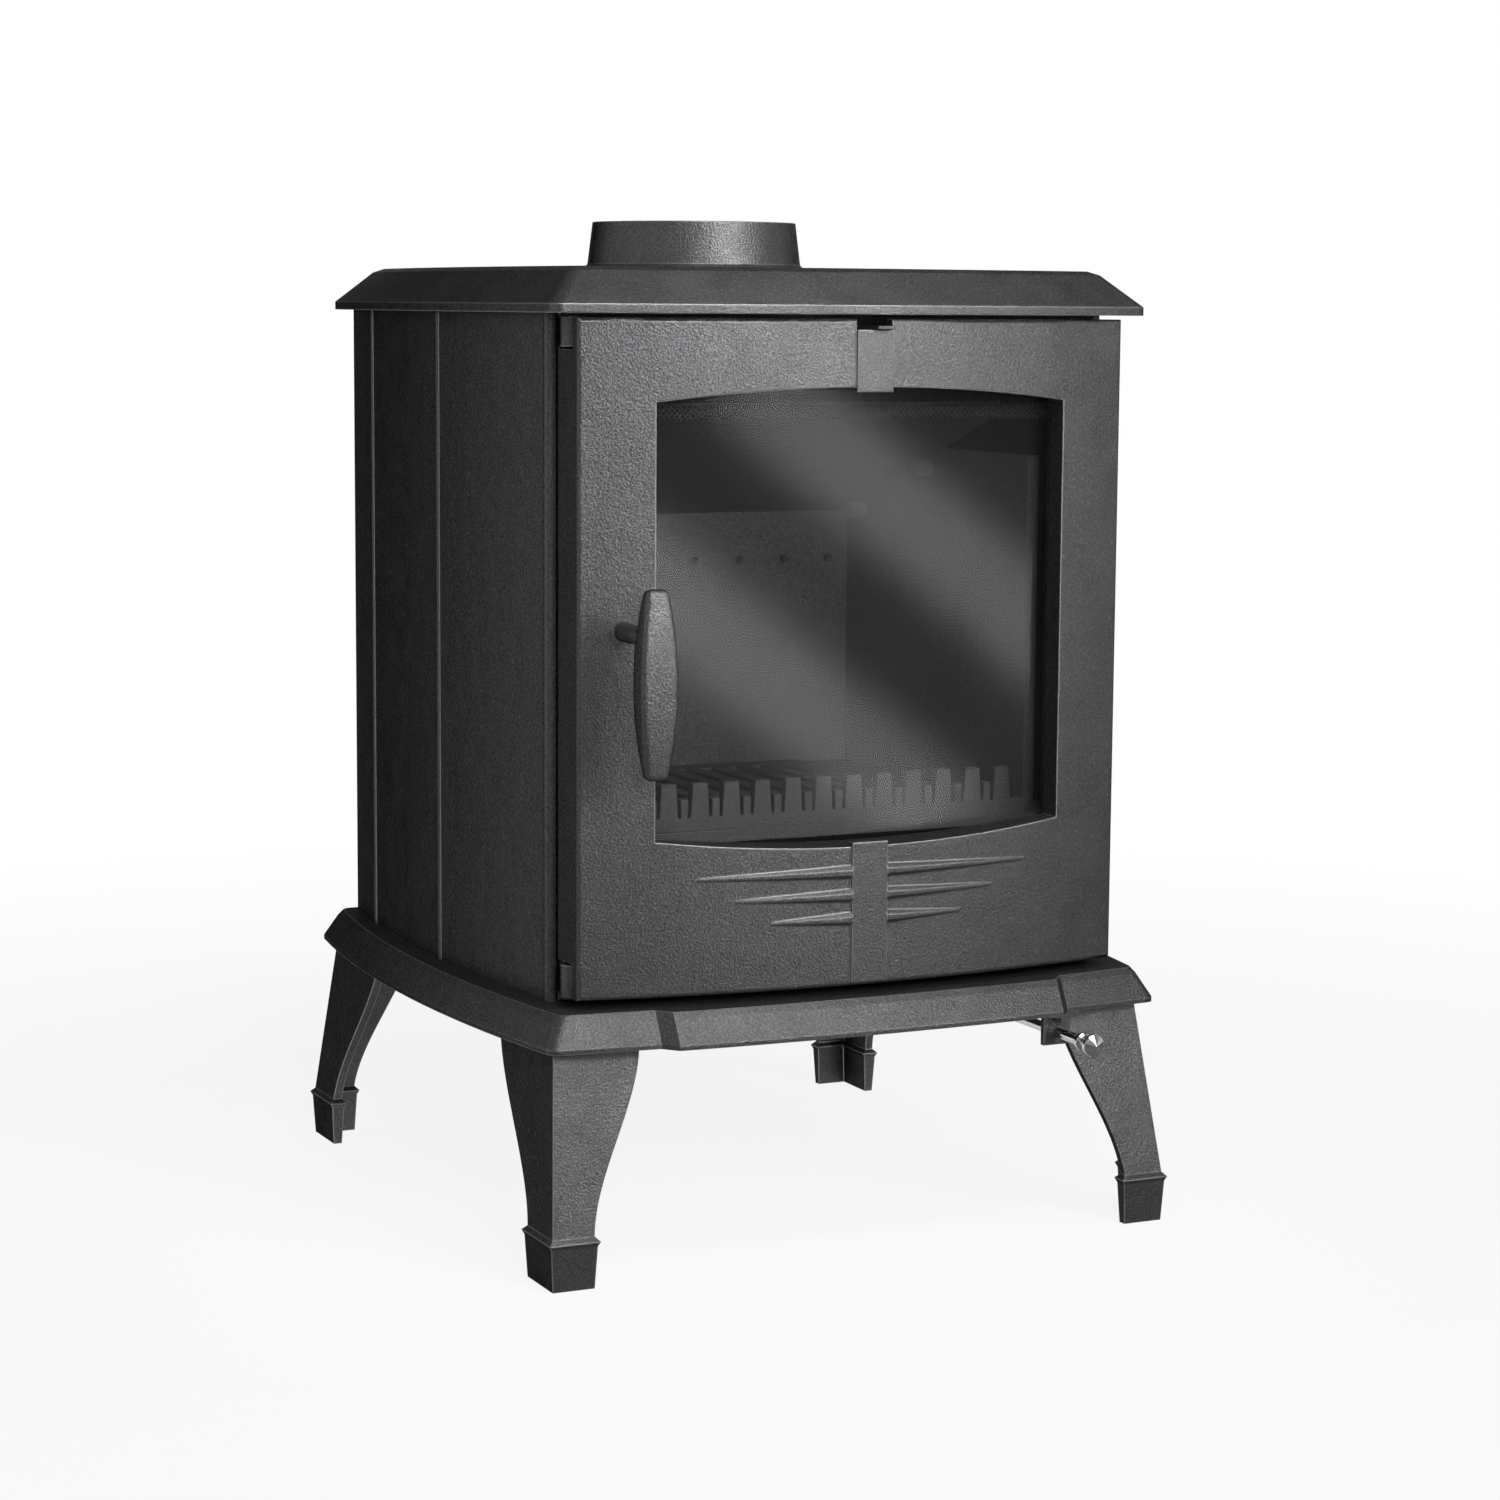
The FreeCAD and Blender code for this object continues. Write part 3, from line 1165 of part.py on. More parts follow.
def make_airwash():
    channel = new_body("airwash_channel")
    front, back = f"-{FRAME_BACK}", f"-{CHANNEL_BACK}"
    flange_top = f"({CHANNEL_FLOOR} + channel_flange)"
    back_top = f"({CHANNEL_FLOOR} + channel_back_height)"
    trough = loop([
        (front, "channel_level"), (back, "channel_level"), (back, back_top),
        (f"{back} - channel_sheet", back_top), (f"{back} - channel_sheet", CHANNEL_FLOOR),
        (f"{front} + channel_sheet", CHANNEL_FLOOR),
        (f"{front} + channel_sheet", flange_top), (front, flange_top),
    ])
    grow(channel, "YZ", "-channel_half_length", "channel_half_length", [trough])
    carve(channel, "XY", "channel_level", CHANNEL_FLOOR, air_slots())
    screw_holes = circles(CHANNEL_SCREWS, "channel_screw_radius + hole_gap")
    flange_back = f"({FRAME_BACK} - channel_sheet)"
    carve(channel, "XZ", flange_back, FRAME_BACK, screw_holes)
    head = ("channel_screw_head", f"{flange_back} - channel_screw_head_height", flange_back)
    shank = ("channel_screw_radius", flange_back, "frame_front - blind_wall - hole_gap")
    fasteners("airwash_channel_screws", "XZ", CHANNEL_SCREWS, head, shank)


def make_airwash_slide():
    slide = new_body("airwash_slide")
    low = f"({CHANNEL_FLOOR} + hole_gap)"
    high = f"({low} + channel_sheet)"
    front = f"-({FRAME_BACK} - channel_sheet - joint_gap)"
    back = f"-({CHANNEL_BACK} + channel_sheet + joint_gap)"
    grow(slide, "XY", low, high, [box("-slide_half_length", front, "slide_half_length", back)])
    carve(slide, "XY", low, high, air_slots("-air_slot_length / 2"))
    left, right = "lever_x - lever_half_width", "lever_x + lever_half_width"
    post_front = f"-({FRAME_BACK} - channel_sheet - lever_post_gap)"
    post = box(left, post_front, right, f"{post_front} + channel_sheet")
    lever_top = "lever_level + channel_sheet"
    grow(slide, "XY", f"{low} + channel_sheet / 2", lever_top, [post])
    lever_front = "-(frame_front + lever_reach)"
    lever = rounded_box(left, lever_front, right, f"{post_front} + channel_sheet / 2", "lever_round")
    grow(slide, "XY", "lever_level", lever_top, [lever])


# The primary air control under the base
def make_air_guides():
    guides = new_body("shutter_guides", x="air_x")
    outside = "(shutter_half + joint_gap)"
    rail = loop([
        (f"{outside} + guide_web", f"{GUIDE_TOP} - guide_web"), (f"{outside} + guide_web", BASE_CEILING),
        (outside, BASE_CEILING), (outside, GUIDE_TOP), (f"{outside} - guide_lip", GUIDE_TOP),
        (f"{outside} - guide_lip", f"{GUIDE_TOP} - guide_web"),
    ])
    grow(guides, "XZ", "shutter_back", "shutter_front + air_travel", both_sides([rail]))


def make_air_control():
    shutter = new_body("primary_air_shutter", x="air_x")
    grow(shutter, "XY", SHUTTER_UNDER, SHUTTER_TOP,
         [box("-shutter_half", "-shutter_front", "shutter_half", "-shutter_back")])
    tab_back = "(shutter_front - shutter_sheet)"
    tab_top = f"{SHUTTER_UNDER} + shutter_sheet / 2"
    tab = box("-tab_half_width", "air_level - tab_drop", "tab_half_width", tab_top)
    grow(shutter, "XZ", tab_back, "shutter_front", [tab])
    rod = new_body("primary_air_rod", x="air_x", z="air_level")
    knob_back = "(knob_front - knob_length)"
    grow(rod, "XZ", "shutter_front", f"{knob_back} + knob_neck", [circle("0", "0", "air_rod_radius")])
    knob = new_body("primary_air_knob", x="air_x", depth=knob_back, z="air_level")
    hole = "air_rod_radius + running_gap"
    profile = loop([
        (hole, "0"), ("knob_neck", "0"), ("knob_neck", "-knob_neck / 2"),
        ("knob_radius", "-knob_length + knob_nose"),
        ("knob_radius - knob_round", "-knob_length + knob_nose / 2"),
        ("knob_nose", "-knob_length"), ("0", "-knob_length"),
        ("0", "-knob_neck - running_gap"), (hole, "-knob_neck - running_gap"),
    ])
    revolve(knob, "XY", profile)


def make_air_bracket():
    bracket = new_body("air_rod_bracket", x="air_x")
    foot_low = "(leg_height - bracket_sheet)"
    half = "bracket_half_width"
    foot_front = f"({BRACKET_BACK} + bracket_foot)"
    grow(bracket, "XY", foot_low, "leg_height", [box(f"-{half}", f"-{foot_front}", half, f"-{BRACKET_BACK}")])
    web = [box(f"-{half}", "leg_height - bracket_drop", half, f"{foot_low} + bracket_sheet / 2")]
    grow(bracket, "XZ", BRACKET_BACK, f"{BRACKET_BACK} + bracket_sheet", web)
    rod_hole = circle("0", "air_level", "air_rod_radius + running_gap")
    carve(bracket, "XZ", BRACKET_BACK, f"{BRACKET_BACK} + bracket_sheet", [rod_hole])
    bolt_hole = circle("0", f"-{BRACKET_BOLT}", "bracket_bolt_radius + hole_gap")
    carve(bracket, "XY", foot_low, "leg_height", [bolt_hole])
    head = ("bracket_bolt_head", f"{foot_low} - bracket_bolt_head_height", foot_low)
    shank = ("bracket_bolt_radius", foot_low, "leg_height + bracket_bolt_depth")
    fasteners("air_bracket_bolt", "XY", [("air_x", f"-{BRACKET_BOLT}")], head, shank, nut_head=True)


def check_pieces():
    """Stop before anything is written if a feature failed or a shape is missing or broken."""
    doc.recompute()
    for item in doc.Objects:
        if "Invalid" in item.State or "Error" in item.State:
            raise RuntimeError(f"{item.Label} failed: {item.State}")
    for piece in pieces:
        if piece.Shape.isNull() or not piece.Shape.isValid() or not piece.Shape.Solids:
            raise RuntimeError(f"{piece.Label} has no sound shape")


def write_pieces():
    os.makedirs("parts", exist_ok=True)
    for piece in pieces:
        piece.Shape.exportStep(f"parts/{piece.Label}.step")
        bounds = piece.Shape.BoundBox
        print(f"{piece.Label}: {len(piece.Shape.Solids)} solid(s), {piece.Shape.Volume / 1000:.1f} cm3, "
              f"{bounds.XLength:.1f} x {bounds.YLength:.1f} x {bounds.ZLength:.1f} mm")


fill_sheet()
make_base()
make_legs()
for side_name, way in SIDES.items():
    make_side_panel(f"side_panel_{side_name}", way)
make_back_panel()
make_front_frame()
make_lid()
make_collar()
make_tie_rods()
make_hearth()
make_grate()
for side_name, way in SIDES.items():
    make_side_liner(f"side_liner_{side_name}", way)
make_back_liner()
make_baffle()
make_log_guard()
make_ash_pan()
make_hinge_pins()
make_door()
make_rope_seal()
make_glass()
make_clips()
make_handle()
make_airwash()
make_airwash_slide()
make_air_guides()
make_air_bracket()
make_air_control()
check_pieces()
write_pieces()
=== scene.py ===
# %% [markdown]
# # A small cast iron stove
# The measured model gives every casting and fitting of this stove its shape, size and place. In this
# lesson the castings get their finishes, the seals, the grip and the pull knob are modelled by hand, and
# the stove is framed and lit. Each step is a short cell that can be run and looked at on its own.

# %% Load the measured model
import bpy
import json
import math
from mathutils import Matrix, Vector


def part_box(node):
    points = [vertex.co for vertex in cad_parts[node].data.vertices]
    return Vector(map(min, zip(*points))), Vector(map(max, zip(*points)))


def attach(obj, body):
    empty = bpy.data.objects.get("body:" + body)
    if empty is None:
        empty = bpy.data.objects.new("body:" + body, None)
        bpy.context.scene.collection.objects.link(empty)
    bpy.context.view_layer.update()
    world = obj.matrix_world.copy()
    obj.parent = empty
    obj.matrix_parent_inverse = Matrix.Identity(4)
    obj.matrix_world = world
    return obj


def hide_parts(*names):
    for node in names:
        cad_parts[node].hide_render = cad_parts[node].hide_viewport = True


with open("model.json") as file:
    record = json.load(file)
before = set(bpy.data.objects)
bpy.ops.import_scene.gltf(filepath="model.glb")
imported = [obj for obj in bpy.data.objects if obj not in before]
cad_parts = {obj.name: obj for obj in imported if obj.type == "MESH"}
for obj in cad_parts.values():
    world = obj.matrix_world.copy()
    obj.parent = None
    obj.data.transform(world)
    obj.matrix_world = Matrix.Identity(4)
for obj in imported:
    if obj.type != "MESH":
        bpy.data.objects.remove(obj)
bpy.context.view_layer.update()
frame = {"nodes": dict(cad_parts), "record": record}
nodes = frame["nodes"]
scene = bpy.context.scene
scene.view_settings.view_transform = "Standard"
print(len(nodes), "castings and fittings loaded")

# %% [markdown]
# ## The camera
# The stove is looked at from its front left, at the height of its lid. A long lens keeps the upright
# edges nearly parallel. The camera could be aimed with a constraint, but three angles and a place say
# exactly how it stands, so it is turned with a matrix made from its right, up and forward directions.

# %% Camera
FILM_WIDTH = 36.0
LENS = 84.1
EYE = Vector((-1.0046, -2.1623, 0.6056))
YAW = math.radians(25.233)
PITCH = math.radians(-7.271)
ROLL = math.radians(0.401)

forward = Vector((math.sin(YAW) * math.cos(PITCH), math.cos(YAW) * math.cos(PITCH), math.sin(PITCH)))
level_right = Vector((math.cos(YAW), -math.sin(YAW), 0))
level_up = level_right.cross(forward)
right = level_right * math.cos(ROLL) + level_up * math.sin(ROLL)
up = level_up * math.cos(ROLL) - level_right * math.sin(ROLL)
turn = Matrix((right, up, -forward)).transposed()
bpy.ops.object.camera_add(location=EYE, rotation=turn.to_euler())
camera = bpy.context.object
camera.data.lens = LENS
camera.data.sensor_width = FILM_WIDTH
scene.camera = camera
print("camera at", [round(value, 3) for value in EYE])

# %% [markdown]
# ## Tools for floor and surroundings
# A studio looks white because it is flooded with light, but so much light would also wash out the black
# iron. What a ray sees can depend on where it comes from: the eye, a reflection, or a matt surface that
# gathers light. The Light Path node tells these apart, and these helpers mix shaders by its answer.

# %% Tools for floor and surroundings
def combine(tree, operation, first, second):
    made = tree.nodes.new("ShaderNodeMath")
    made.operation = operation
    tree.links.new(first, made.inputs[0])
    tree.links.new(second, made.inputs[1])
    return made.outputs[0]


def larger(tree, first, second):
    return combine(tree, "MAXIMUM", first, second)


def product(tree, first, second):
    return combine(tree, "MULTIPLY", first, second)


def seen_directly(tree):
    """1 for what the eye, a reflection or a pane of glass sees, and 0 for light that falls on a surface."""
    path = tree.nodes.new("ShaderNodeLightPath").outputs
    mirrored = larger(tree, path["Is Glossy Ray"], path["Is Transmission Ray"])
    return larger(tree, path["Is Camera Ray"], mirrored)


def mix_shaders(tree, share, first, second):
    mixer = tree.nodes.new("ShaderNodeMixShader")
    tree.links.new(share, mixer.inputs[0])
    tree.links.new(first, mixer.inputs[1])
    tree.links.new(second, mixer.inputs[2])
    return mixer.outputs[0]


def fade(tree, value, start, end, last):
    """1 up to a start, then falling to a last value at an end."""
    made = tree.nodes.new("ShaderNodeMapRange")
    made.inputs["From Min"].default_value = start
    made.inputs["From Max"].default_value = end
    made.inputs["To Min"].default_value = 1.0
    made.inputs["To Max"].default_value = last
    tree.links.new(value, made.inputs["Value"])
    return made.outputs["Result"]


print("helpers for floor and surroundings ready")

# %% [markdown]
# ## The floor
# The stove stands on a plain pale floor, one large plane. Its shader mixes a white glow with a matt
# surface that takes the stove's shadow, and further out the glow is all there is. The eye sees the glow
# in full. Reflections see it in full behind the stove and dimmed in front, as in a studio whose lamps
# light the backdrop.

# %% The floor
FLOOR_SIZE = 16.0
FLOOR_COLOUR = (0.7, 0.7, 0.7, 1)
FLOOR_ROUGHNESS = 0.9
FLOOR_SHADE = 0.1
FLOOR_DIMS_FROM = 0.15
FLOOR_DIM_AT = -0.3
SHADOW_REACH = 1.6
SHADOW_FADES_FROM = SHADOW_REACH / 3
NEAR_GLOW = 0.88


def make_floor():
    bpy.ops.mesh.primitive_plane_add(size=FLOOR_SIZE)
    floor = bpy.context.object
    floor.name = "floor"
    pale = bpy.data.materials.new("pale_floor")
    pale.use_nodes = True
    tree = pale.node_tree
    shader = tree.nodes["Principled BSDF"]
    shader.inputs["Base Color"].default_value = FLOOR_COLOUR
    shader.inputs["Roughness"].default_value = FLOOR_ROUGHNESS
    shader.inputs["Specular IOR Level"].default_value = 0.0
    glow = tree.nodes.new("ShaderNodeEmission")
    distance = tree.nodes.new("ShaderNodeVectorMath")
    distance.operation = "LENGTH"
    place = tree.nodes.new("ShaderNodeTexCoord").outputs["Object"]
    tree.links.new(place, distance.inputs[0])
    sides = tree.nodes.new("ShaderNodeSeparateXYZ")
    tree.links.new(place, sides.inputs["Vector"])
    in_front = fade(tree, sides.outputs["Y"], FLOOR_DIMS_FROM, FLOOR_DIM_AT, FLOOR_SHADE)
    to_eye = tree.nodes.new("ShaderNodeLightPath").outputs["Is Camera Ray"]
    tree.links.new(larger(tree, to_eye, in_front), glow.inputs["Strength"])
    outwards = tree.nodes.new("ShaderNodeMapRange")
    outwards.inputs["From Min"].default_value = SHADOW_FADES_FROM
    outwards.inputs["From Max"].default_value = SHADOW_REACH
    outwards.inputs["To Min"].default_value = NEAR_GLOW
    tree.links.new(distance.outputs["Value"], outwards.inputs["Value"])
    share = product(tree, seen_directly(tree), outwards.outputs["Result"])
    surface = mix_shaders(tree, share, shader.outputs[0], glow.outputs[0])
    tree.links.new(surface, tree.nodes["Material Output"].inputs["Surface"])
    floor.data.materials.append(pale)
    print("floor", FLOOR_SIZE, "m wide")


bpy.ops.object.select_all(action="DESELECT")
make_floor()

# %% [markdown]
# ## The surroundings
# To the eye there is nothing but white behind the stove. Metal and glass see the same white backdrop,
# with a dimmer room in front and overhead, and the light that falls on the iron from all round is a low
# even fill. A direction runs from -1 to 1 along each axis, so the ceiling is where it points upwards and
# the room is where it points forwards, to -Y.

# %% The surroundings
WHITE = (1, 1, 1, 1)
FILL_LIGHT = 0.22
CEILING_SHADE = 0.15
CEILING_DIMS_FROM = 0.3
CEILING_DIM_AT = 0.8
ROOM_SHADE = 0.35
ROOM_DIMS_FROM = -0.1
ROOM_DIM_AT = -0.6


def make_surroundings():
    world = bpy.data.worlds.new("white_room")
    world.use_nodes = True
    scene.world = world
    tree = world.node_tree
    fill = tree.nodes["Background"]
    fill.inputs["Color"].default_value = WHITE
    fill.inputs["Strength"].default_value = FILL_LIGHT
    towards = tree.nodes.new("ShaderNodeSeparateXYZ")
    tree.links.new(tree.nodes.new("ShaderNodeTexCoord").outputs["Generated"], towards.inputs["Vector"])
    ceiling = fade(tree, towards.outputs["Z"], CEILING_DIMS_FROM, CEILING_DIM_AT, CEILING_SHADE)
    room = fade(tree, towards.outputs["Y"], ROOM_DIMS_FROM, ROOM_DIM_AT, ROOM_SHADE)
    mirrored = tree.nodes.new("ShaderNodeBackground")
    tree.links.new(product(tree, ceiling, room), mirrored.inputs["Color"])
    white = tree.nodes.new("ShaderNodeBackground")
    white.inputs["Color"].default_value = WHITE
    lit = mix_shaders(tree, seen_directly(tree), fill.outputs[0], mirrored.outputs[0])
    to_eye = tree.nodes.new("ShaderNodeLightPath").outputs["Is Camera Ray"]
    surface = mix_shaders(tree, to_eye, lit, white.outputs[0])
    tree.links.new(surface, tree.nodes["World Output"].inputs["Surface"])


make_surroundings()
print("white room made, with a fill light of", FILL_LIGHT)

# %% [markdown]
# ## Studio lights
# A soft key light hangs high in front, to the right. Its narrow beam is aimed above the lid, so that its
# sheen lies on the top of the door and fades downwards, while the left side stays dark. A long light
# overhead shows on the slope of the base and on the ribs. A low light at the left reaches through the
# pane to the liners and the log guard, and shows in no reflection. Two slim strips stand low at the
# right, and show only in reflections, as the slanting bands in the glass.

# %% Studio lights
KEY_PLACE = Vector((0.65, -2.1, 1.45))
ABOVE_LID = Vector((-0.05, 0, 0.85))
KEY_BEAM = math.radians(46)
KEY_SIZE = (0.9, 1.1)
KEY_POWER = 6.2
TOP_PLACE = Vector((0, -0.9, 1.6))
BASE_SLOPE = Vector((0, -0.2, 0.15))
TOP_SIZE = (0.9, 0.3)
TOP_POWER = 14.0
FIREBOX_PLACE = Vector((-0.45, -1.5, 0.68))
FIREBOX_MIDDLE = Vector((-0.04, 0.1, 0.37))
FIREBOX_BEAM = math.radians(50)
FIREBOX_SIZE = (0.4, 0.4)
FIREBOX_POWER = 2.2
UPPER_STRIP = Vector((0.59, -1.2, 0.392))
LOWER_STRIP = Vector((0.428, -1.2, 0.254))
STRIP_SIZE = (0.09, 0.5)
STRIP_SLANT = math.radians(52)
STRIP_POWER = 1.5
BACKWARDS = Vector((0, 1, 0))
WIDE_OPEN = math.pi


def area_light(name, place, aim, size, power, slant=0.0, beam=WIDE_OPEN):
    """A soft rectangle of light that faces a point, turned about its own axis by a slant, in a beam."""
    facing = (place - aim).to_track_quat("Z", "Y").to_matrix()
    turned = facing @ Matrix.Rotation(slant, 3, "Z")
    bpy.ops.object.light_add(type="AREA", location=place, rotation=turned.to_euler())
    light = bpy.context.object
    light.name = name
    light.data.shape = "RECTANGLE"
    light.data.size, light.data.size_y = size
    light.data.energy = power
    light.data.spread = beam
    light.visible_camera = False
    print(name, "at", [round(value, 2) for value in place])
    return light


def glass_strip(name, place):
    """A slim light that only shows as a reflection and lights no matt surface."""
    strip = area_light(name, place, place + BACKWARDS, STRIP_SIZE, STRIP_POWER, STRIP_SLANT)
    strip.visible_diffuse = False


area_light("key_light", KEY_PLACE, ABOVE_LID, KEY_SIZE, KEY_POWER, beam=KEY_BEAM)
area_light("top_light", TOP_PLACE, BASE_SLOPE, TOP_SIZE, TOP_POWER)
firebox_light = area_light("firebox_light", FIREBOX_PLACE, FIREBOX_MIDDLE, FIREBOX_SIZE, FIREBOX_POWER,
                           beam=FIREBOX_BEAM)
firebox_light.visible_glossy = False
glass_strip("upper_strip", UPPER_STRIP)
glass_strip("lower_strip", LOWER_STRIP)

# %% [markdown]
# ## Tools for the finishes
# Every finish is a node tree on the Principled shader. Values that are the same all over sit on the
# shader's own sockets. What varies is built from noise on Object coordinates, such as grain, or from
# the edges, such as wear with a painted highlight. Object coordinates are in metres here because every
# piece keeps its place in its mesh. A few small helpers keep the trees short to write. Most values of a
# noise lie between 0.3 and 0.7, so that stretch is spread over each effect.

# %% Tools for the finishes
NOISE_LOW = 0.3
NOISE_HIGH = 0.7


def new_finish(name, metal, roughness, specular):
    finish = bpy.data.materials.new(name)
    finish.use_nodes = True
    tree = finish.node_tree
    shader = tree.nodes["Principled BSDF"]
    shader.inputs["Metallic"].default_value = metal
    shader.inputs["Roughness"].default_value = roughness
    shader.inputs["Specular IOR Level"].default_value = specular
    return finish, tree, shader


def object_place(tree):
    return tree.nodes.new("ShaderNodeTexCoord").outputs["Object"]


def noise(tree, place, scale, detail):
    made = tree.nodes.new("ShaderNodeTexNoise")
    made.inputs["Scale"].default_value = scale
    made.inputs["Detail"].default_value = detail
    tree.links.new(place, made.inputs["Vector"])
    return made.outputs["Fac"]


def span(tree, value, low, high, out_low, out_high):
    """Stretch one range of values to another."""
    made = tree.nodes.new("ShaderNodeMapRange")
    made.inputs["From Min"].default_value = low
    made.inputs["From Max"].default_value = high
    made.inputs["To Min"].default_value = out_low
    made.inputs["To Max"].default_value = out_high
    tree.links.new(value, made.inputs["Value"])
    return made.outputs["Result"]


def shades(tree, value, stops):
    """A colour ramp of greys or colours: stops are (position, colour)."""
    made = tree.nodes.new("ShaderNodeValToRGB")
    elements = made.color_ramp.elements
    while len(elements) < len(stops):
        elements.new(0.5)
    for element, (position, colour) in zip(elements, stops):
        element.position = position
        element.color = (*colour, 1)
    tree.links.new(value, made.inputs["Fac"])
    return made.outputs["Color"]


def blend_colours(tree, share, first, second):
    made = tree.nodes.new("ShaderNodeMix")
    made.data_type = "RGBA"
    tree.links.new(share, made.inputs["Factor"])
    tree.links.new(first, made.inputs["A"])
    made.inputs["B"].default_value = (*second, 1)
    return made.outputs["Result"]


print("helpers for colour and gloss ready")

# %% [markdown]
# ## Tools for bumps and edges
# A casting has no knife-sharp edge. Each edge could be rounded in the mesh, but the castings keep their
# measured shapes, so the shader rounds the direction of the surface instead. Where that differs from the
# true direction an edge is near, and there the paint is lightened, partly as wear and partly as a
# painted highlight.

# %% Tools for bumps and edges
EDGE_SAMPLES = 6
EDGE_STARTS = 0.99
EDGE_FULL = 0.8


def bumps(tree, height, depth, normal=None):
    """Raise the surface by a height of up to depth metres."""
    made = tree.nodes.new("ShaderNodeBump")
    made.inputs["Distance"].default_value = depth
    tree.links.new(height, made.inputs["Height"])
    if normal:
        tree.links.new(normal, made.inputs["Normal"])
    return made.outputs["Normal"]


def soft_edges(tree, radius):
    """The surface direction with every sharp edge rounded, and how close a point is to such an edge."""
    rounded = tree.nodes.new("ShaderNodeBevel")
    rounded.samples = EDGE_SAMPLES
    rounded.inputs["Radius"].default_value = radius
    flat = tree.nodes.new("ShaderNodeNewGeometry")
    compare = tree.nodes.new("ShaderNodeVectorMath")
    compare.operation = "DOT_PRODUCT"
    tree.links.new(rounded.outputs["Normal"], compare.inputs[0])
    tree.links.new(flat.outputs["Normal"], compare.inputs[1])
    return rounded.outputs["Normal"], span(tree, compare.outputs["Value"], EDGE_STARTS, EDGE_FULL, 0, 1)


print("helpers for bumps and edges ready")

# %% [markdown]
# ## Cast iron
# Stove castings come out of sand moulds, so their skin has a fine grain and slight waves, and the black
# stove paint over it is worn a little lighter along the edges. A small noise makes the grain, as colour
# and as bumps, and a larger one the waves, as gloss and as bumps. A rounded-edge normal finds the edges,
# which soften and catch the light. There the colour is also lightened towards grey, partly as that wear
# and partly as a painted highlight.

# %% Cast iron
GRAIN_SCALE = 780
GRAIN_STOPS = (0.30, 0.55, 0.78)
WAVE_SCALE = 45
WAVE_DEPTH = 0.0005
WAVE_SMOOTHS_BY = 0.06
WAVE_ROUGHENS_BY = 0.08
CASTING_EDGE = 0.0016
GRAZING_TINT = (0.06, 0.06, 0.06, 1)
# The grey that edges are lightened towards: partly paint wear, partly a painted highlight.
EDGE_WEAR_AND_HIGHLIGHT_GREY = (0.5, 0.5, 0.5)
STOVE_BLACK = ((0.055, 0.055, 0.056), (0.08, 0.08, 0.082), (0.13, 0.13, 0.132))
FIREBOX_GREY = ((0.1, 0.1, 0.1), (0.15, 0.15, 0.152), (0.21, 0.21, 0.212))


def cast_iron(name, greys, metal, roughness, grain_depth, edge_wear_and_highlight):
    finish, tree, shader = new_finish(name, metal, roughness, specular=0.0)
    shader.inputs["Specular Tint"].default_value = GRAZING_TINT
    place = object_place(tree)
    grain = noise(tree, place, GRAIN_SCALE, detail=3)
    waves = noise(tree, place, WAVE_SCALE, detail=3)
    normal, edge = soft_edges(tree, CASTING_EDGE)
    colour = shades(tree, grain, list(zip(GRAIN_STOPS, greys)))
    # Painted highlight and wear: the base colour is lightened towards grey near every edge.
    worn_and_highlit_colour = blend_colours(tree, span(tree, edge, 0, 1, 0, edge_wear_and_highlight), colour, EDGE_WEAR_AND_HIGHLIGHT_GREY)
    tree.links.new(worn_and_highlit_colour, shader.inputs["Base Color"])
    smoothest = roughness - WAVE_SMOOTHS_BY
    roughest = roughness + WAVE_ROUGHENS_BY
    gloss = span(tree, waves, NOISE_LOW, NOISE_HIGH, smoothest, roughest)
    tree.links.new(gloss, shader.inputs["Roughness"])
    wavy = bumps(tree, waves, WAVE_DEPTH, normal)
    tree.links.new(bumps(tree, grain, grain_depth, wavy), shader.inputs["Normal"])
    return finish


# How far each finish lightens its edges is partly wear and partly a painted highlight.
stove_iron = cast_iron("stove_iron", STOVE_BLACK, metal=0.8, roughness=0.38, grain_depth=0.00042, edge_wear_and_highlight=0.7)
firebox_iron = cast_iron("firebox_iron", FIREBOX_GREY, metal=0.1, roughness=0.7, grain_depth=0.0003,
                         edge_wear_and_highlight=0.05)
print("cast iron finishes made")

# %% [markdown]
# ## Steel and chrome
# The fittings are sheet and bar steel: blackened where they sit in the fire's heat, and chromed on the
# pull rod and its knob. Drawn metal has fine lines along its length, so stretched noise varies the
# roughness and the bumps.

# %% Steel and chrome
LINE_SCALE = 300
LINE_SMOOTHS_BY = 0.05
LINE_ROUGHENS_BY = 0.1
SMUDGE_SCALE = 60
FITTING_EDGE = 0.0006
STEEL_GREYS = ((0.035, 0.035, 0.036), (0.07, 0.07, 0.072))
CHROME_GREYS = ((0.55, 0.55, 0.56), (0.68, 0.68, 0.69))


def brushed_metal(name, greys, metal, roughness, stretch, line_depth):
    finish, tree, shader = new_finish(name, metal, roughness, specular=0.5)
    mapping = tree.nodes.new("ShaderNodeMapping")
    mapping.inputs["Scale"].default_value = stretch
    tree.links.new(object_place(tree), mapping.inputs["Vector"])
    lines = noise(tree, mapping.outputs["Vector"], LINE_SCALE, detail=2)
    smudges = noise(tree, object_place(tree), SMUDGE_SCALE, detail=3)
    colour = shades(tree, smudges, list(zip((NOISE_LOW, NOISE_HIGH), greys)))
    tree.links.new(colour, shader.inputs["Base Color"])
    smoothest = roughness - LINE_SMOOTHS_BY
    roughest = roughness + LINE_ROUGHENS_BY
    gloss = span(tree, lines, NOISE_LOW, NOISE_HIGH, smoothest, roughest)
    tree.links.new(gloss, shader.inputs["Roughness"])
    normal, _ = soft_edges(tree, FITTING_EDGE)
    tree.links.new(bumps(tree, lines, line_depth, normal), shader.inputs["Normal"])
    return finish


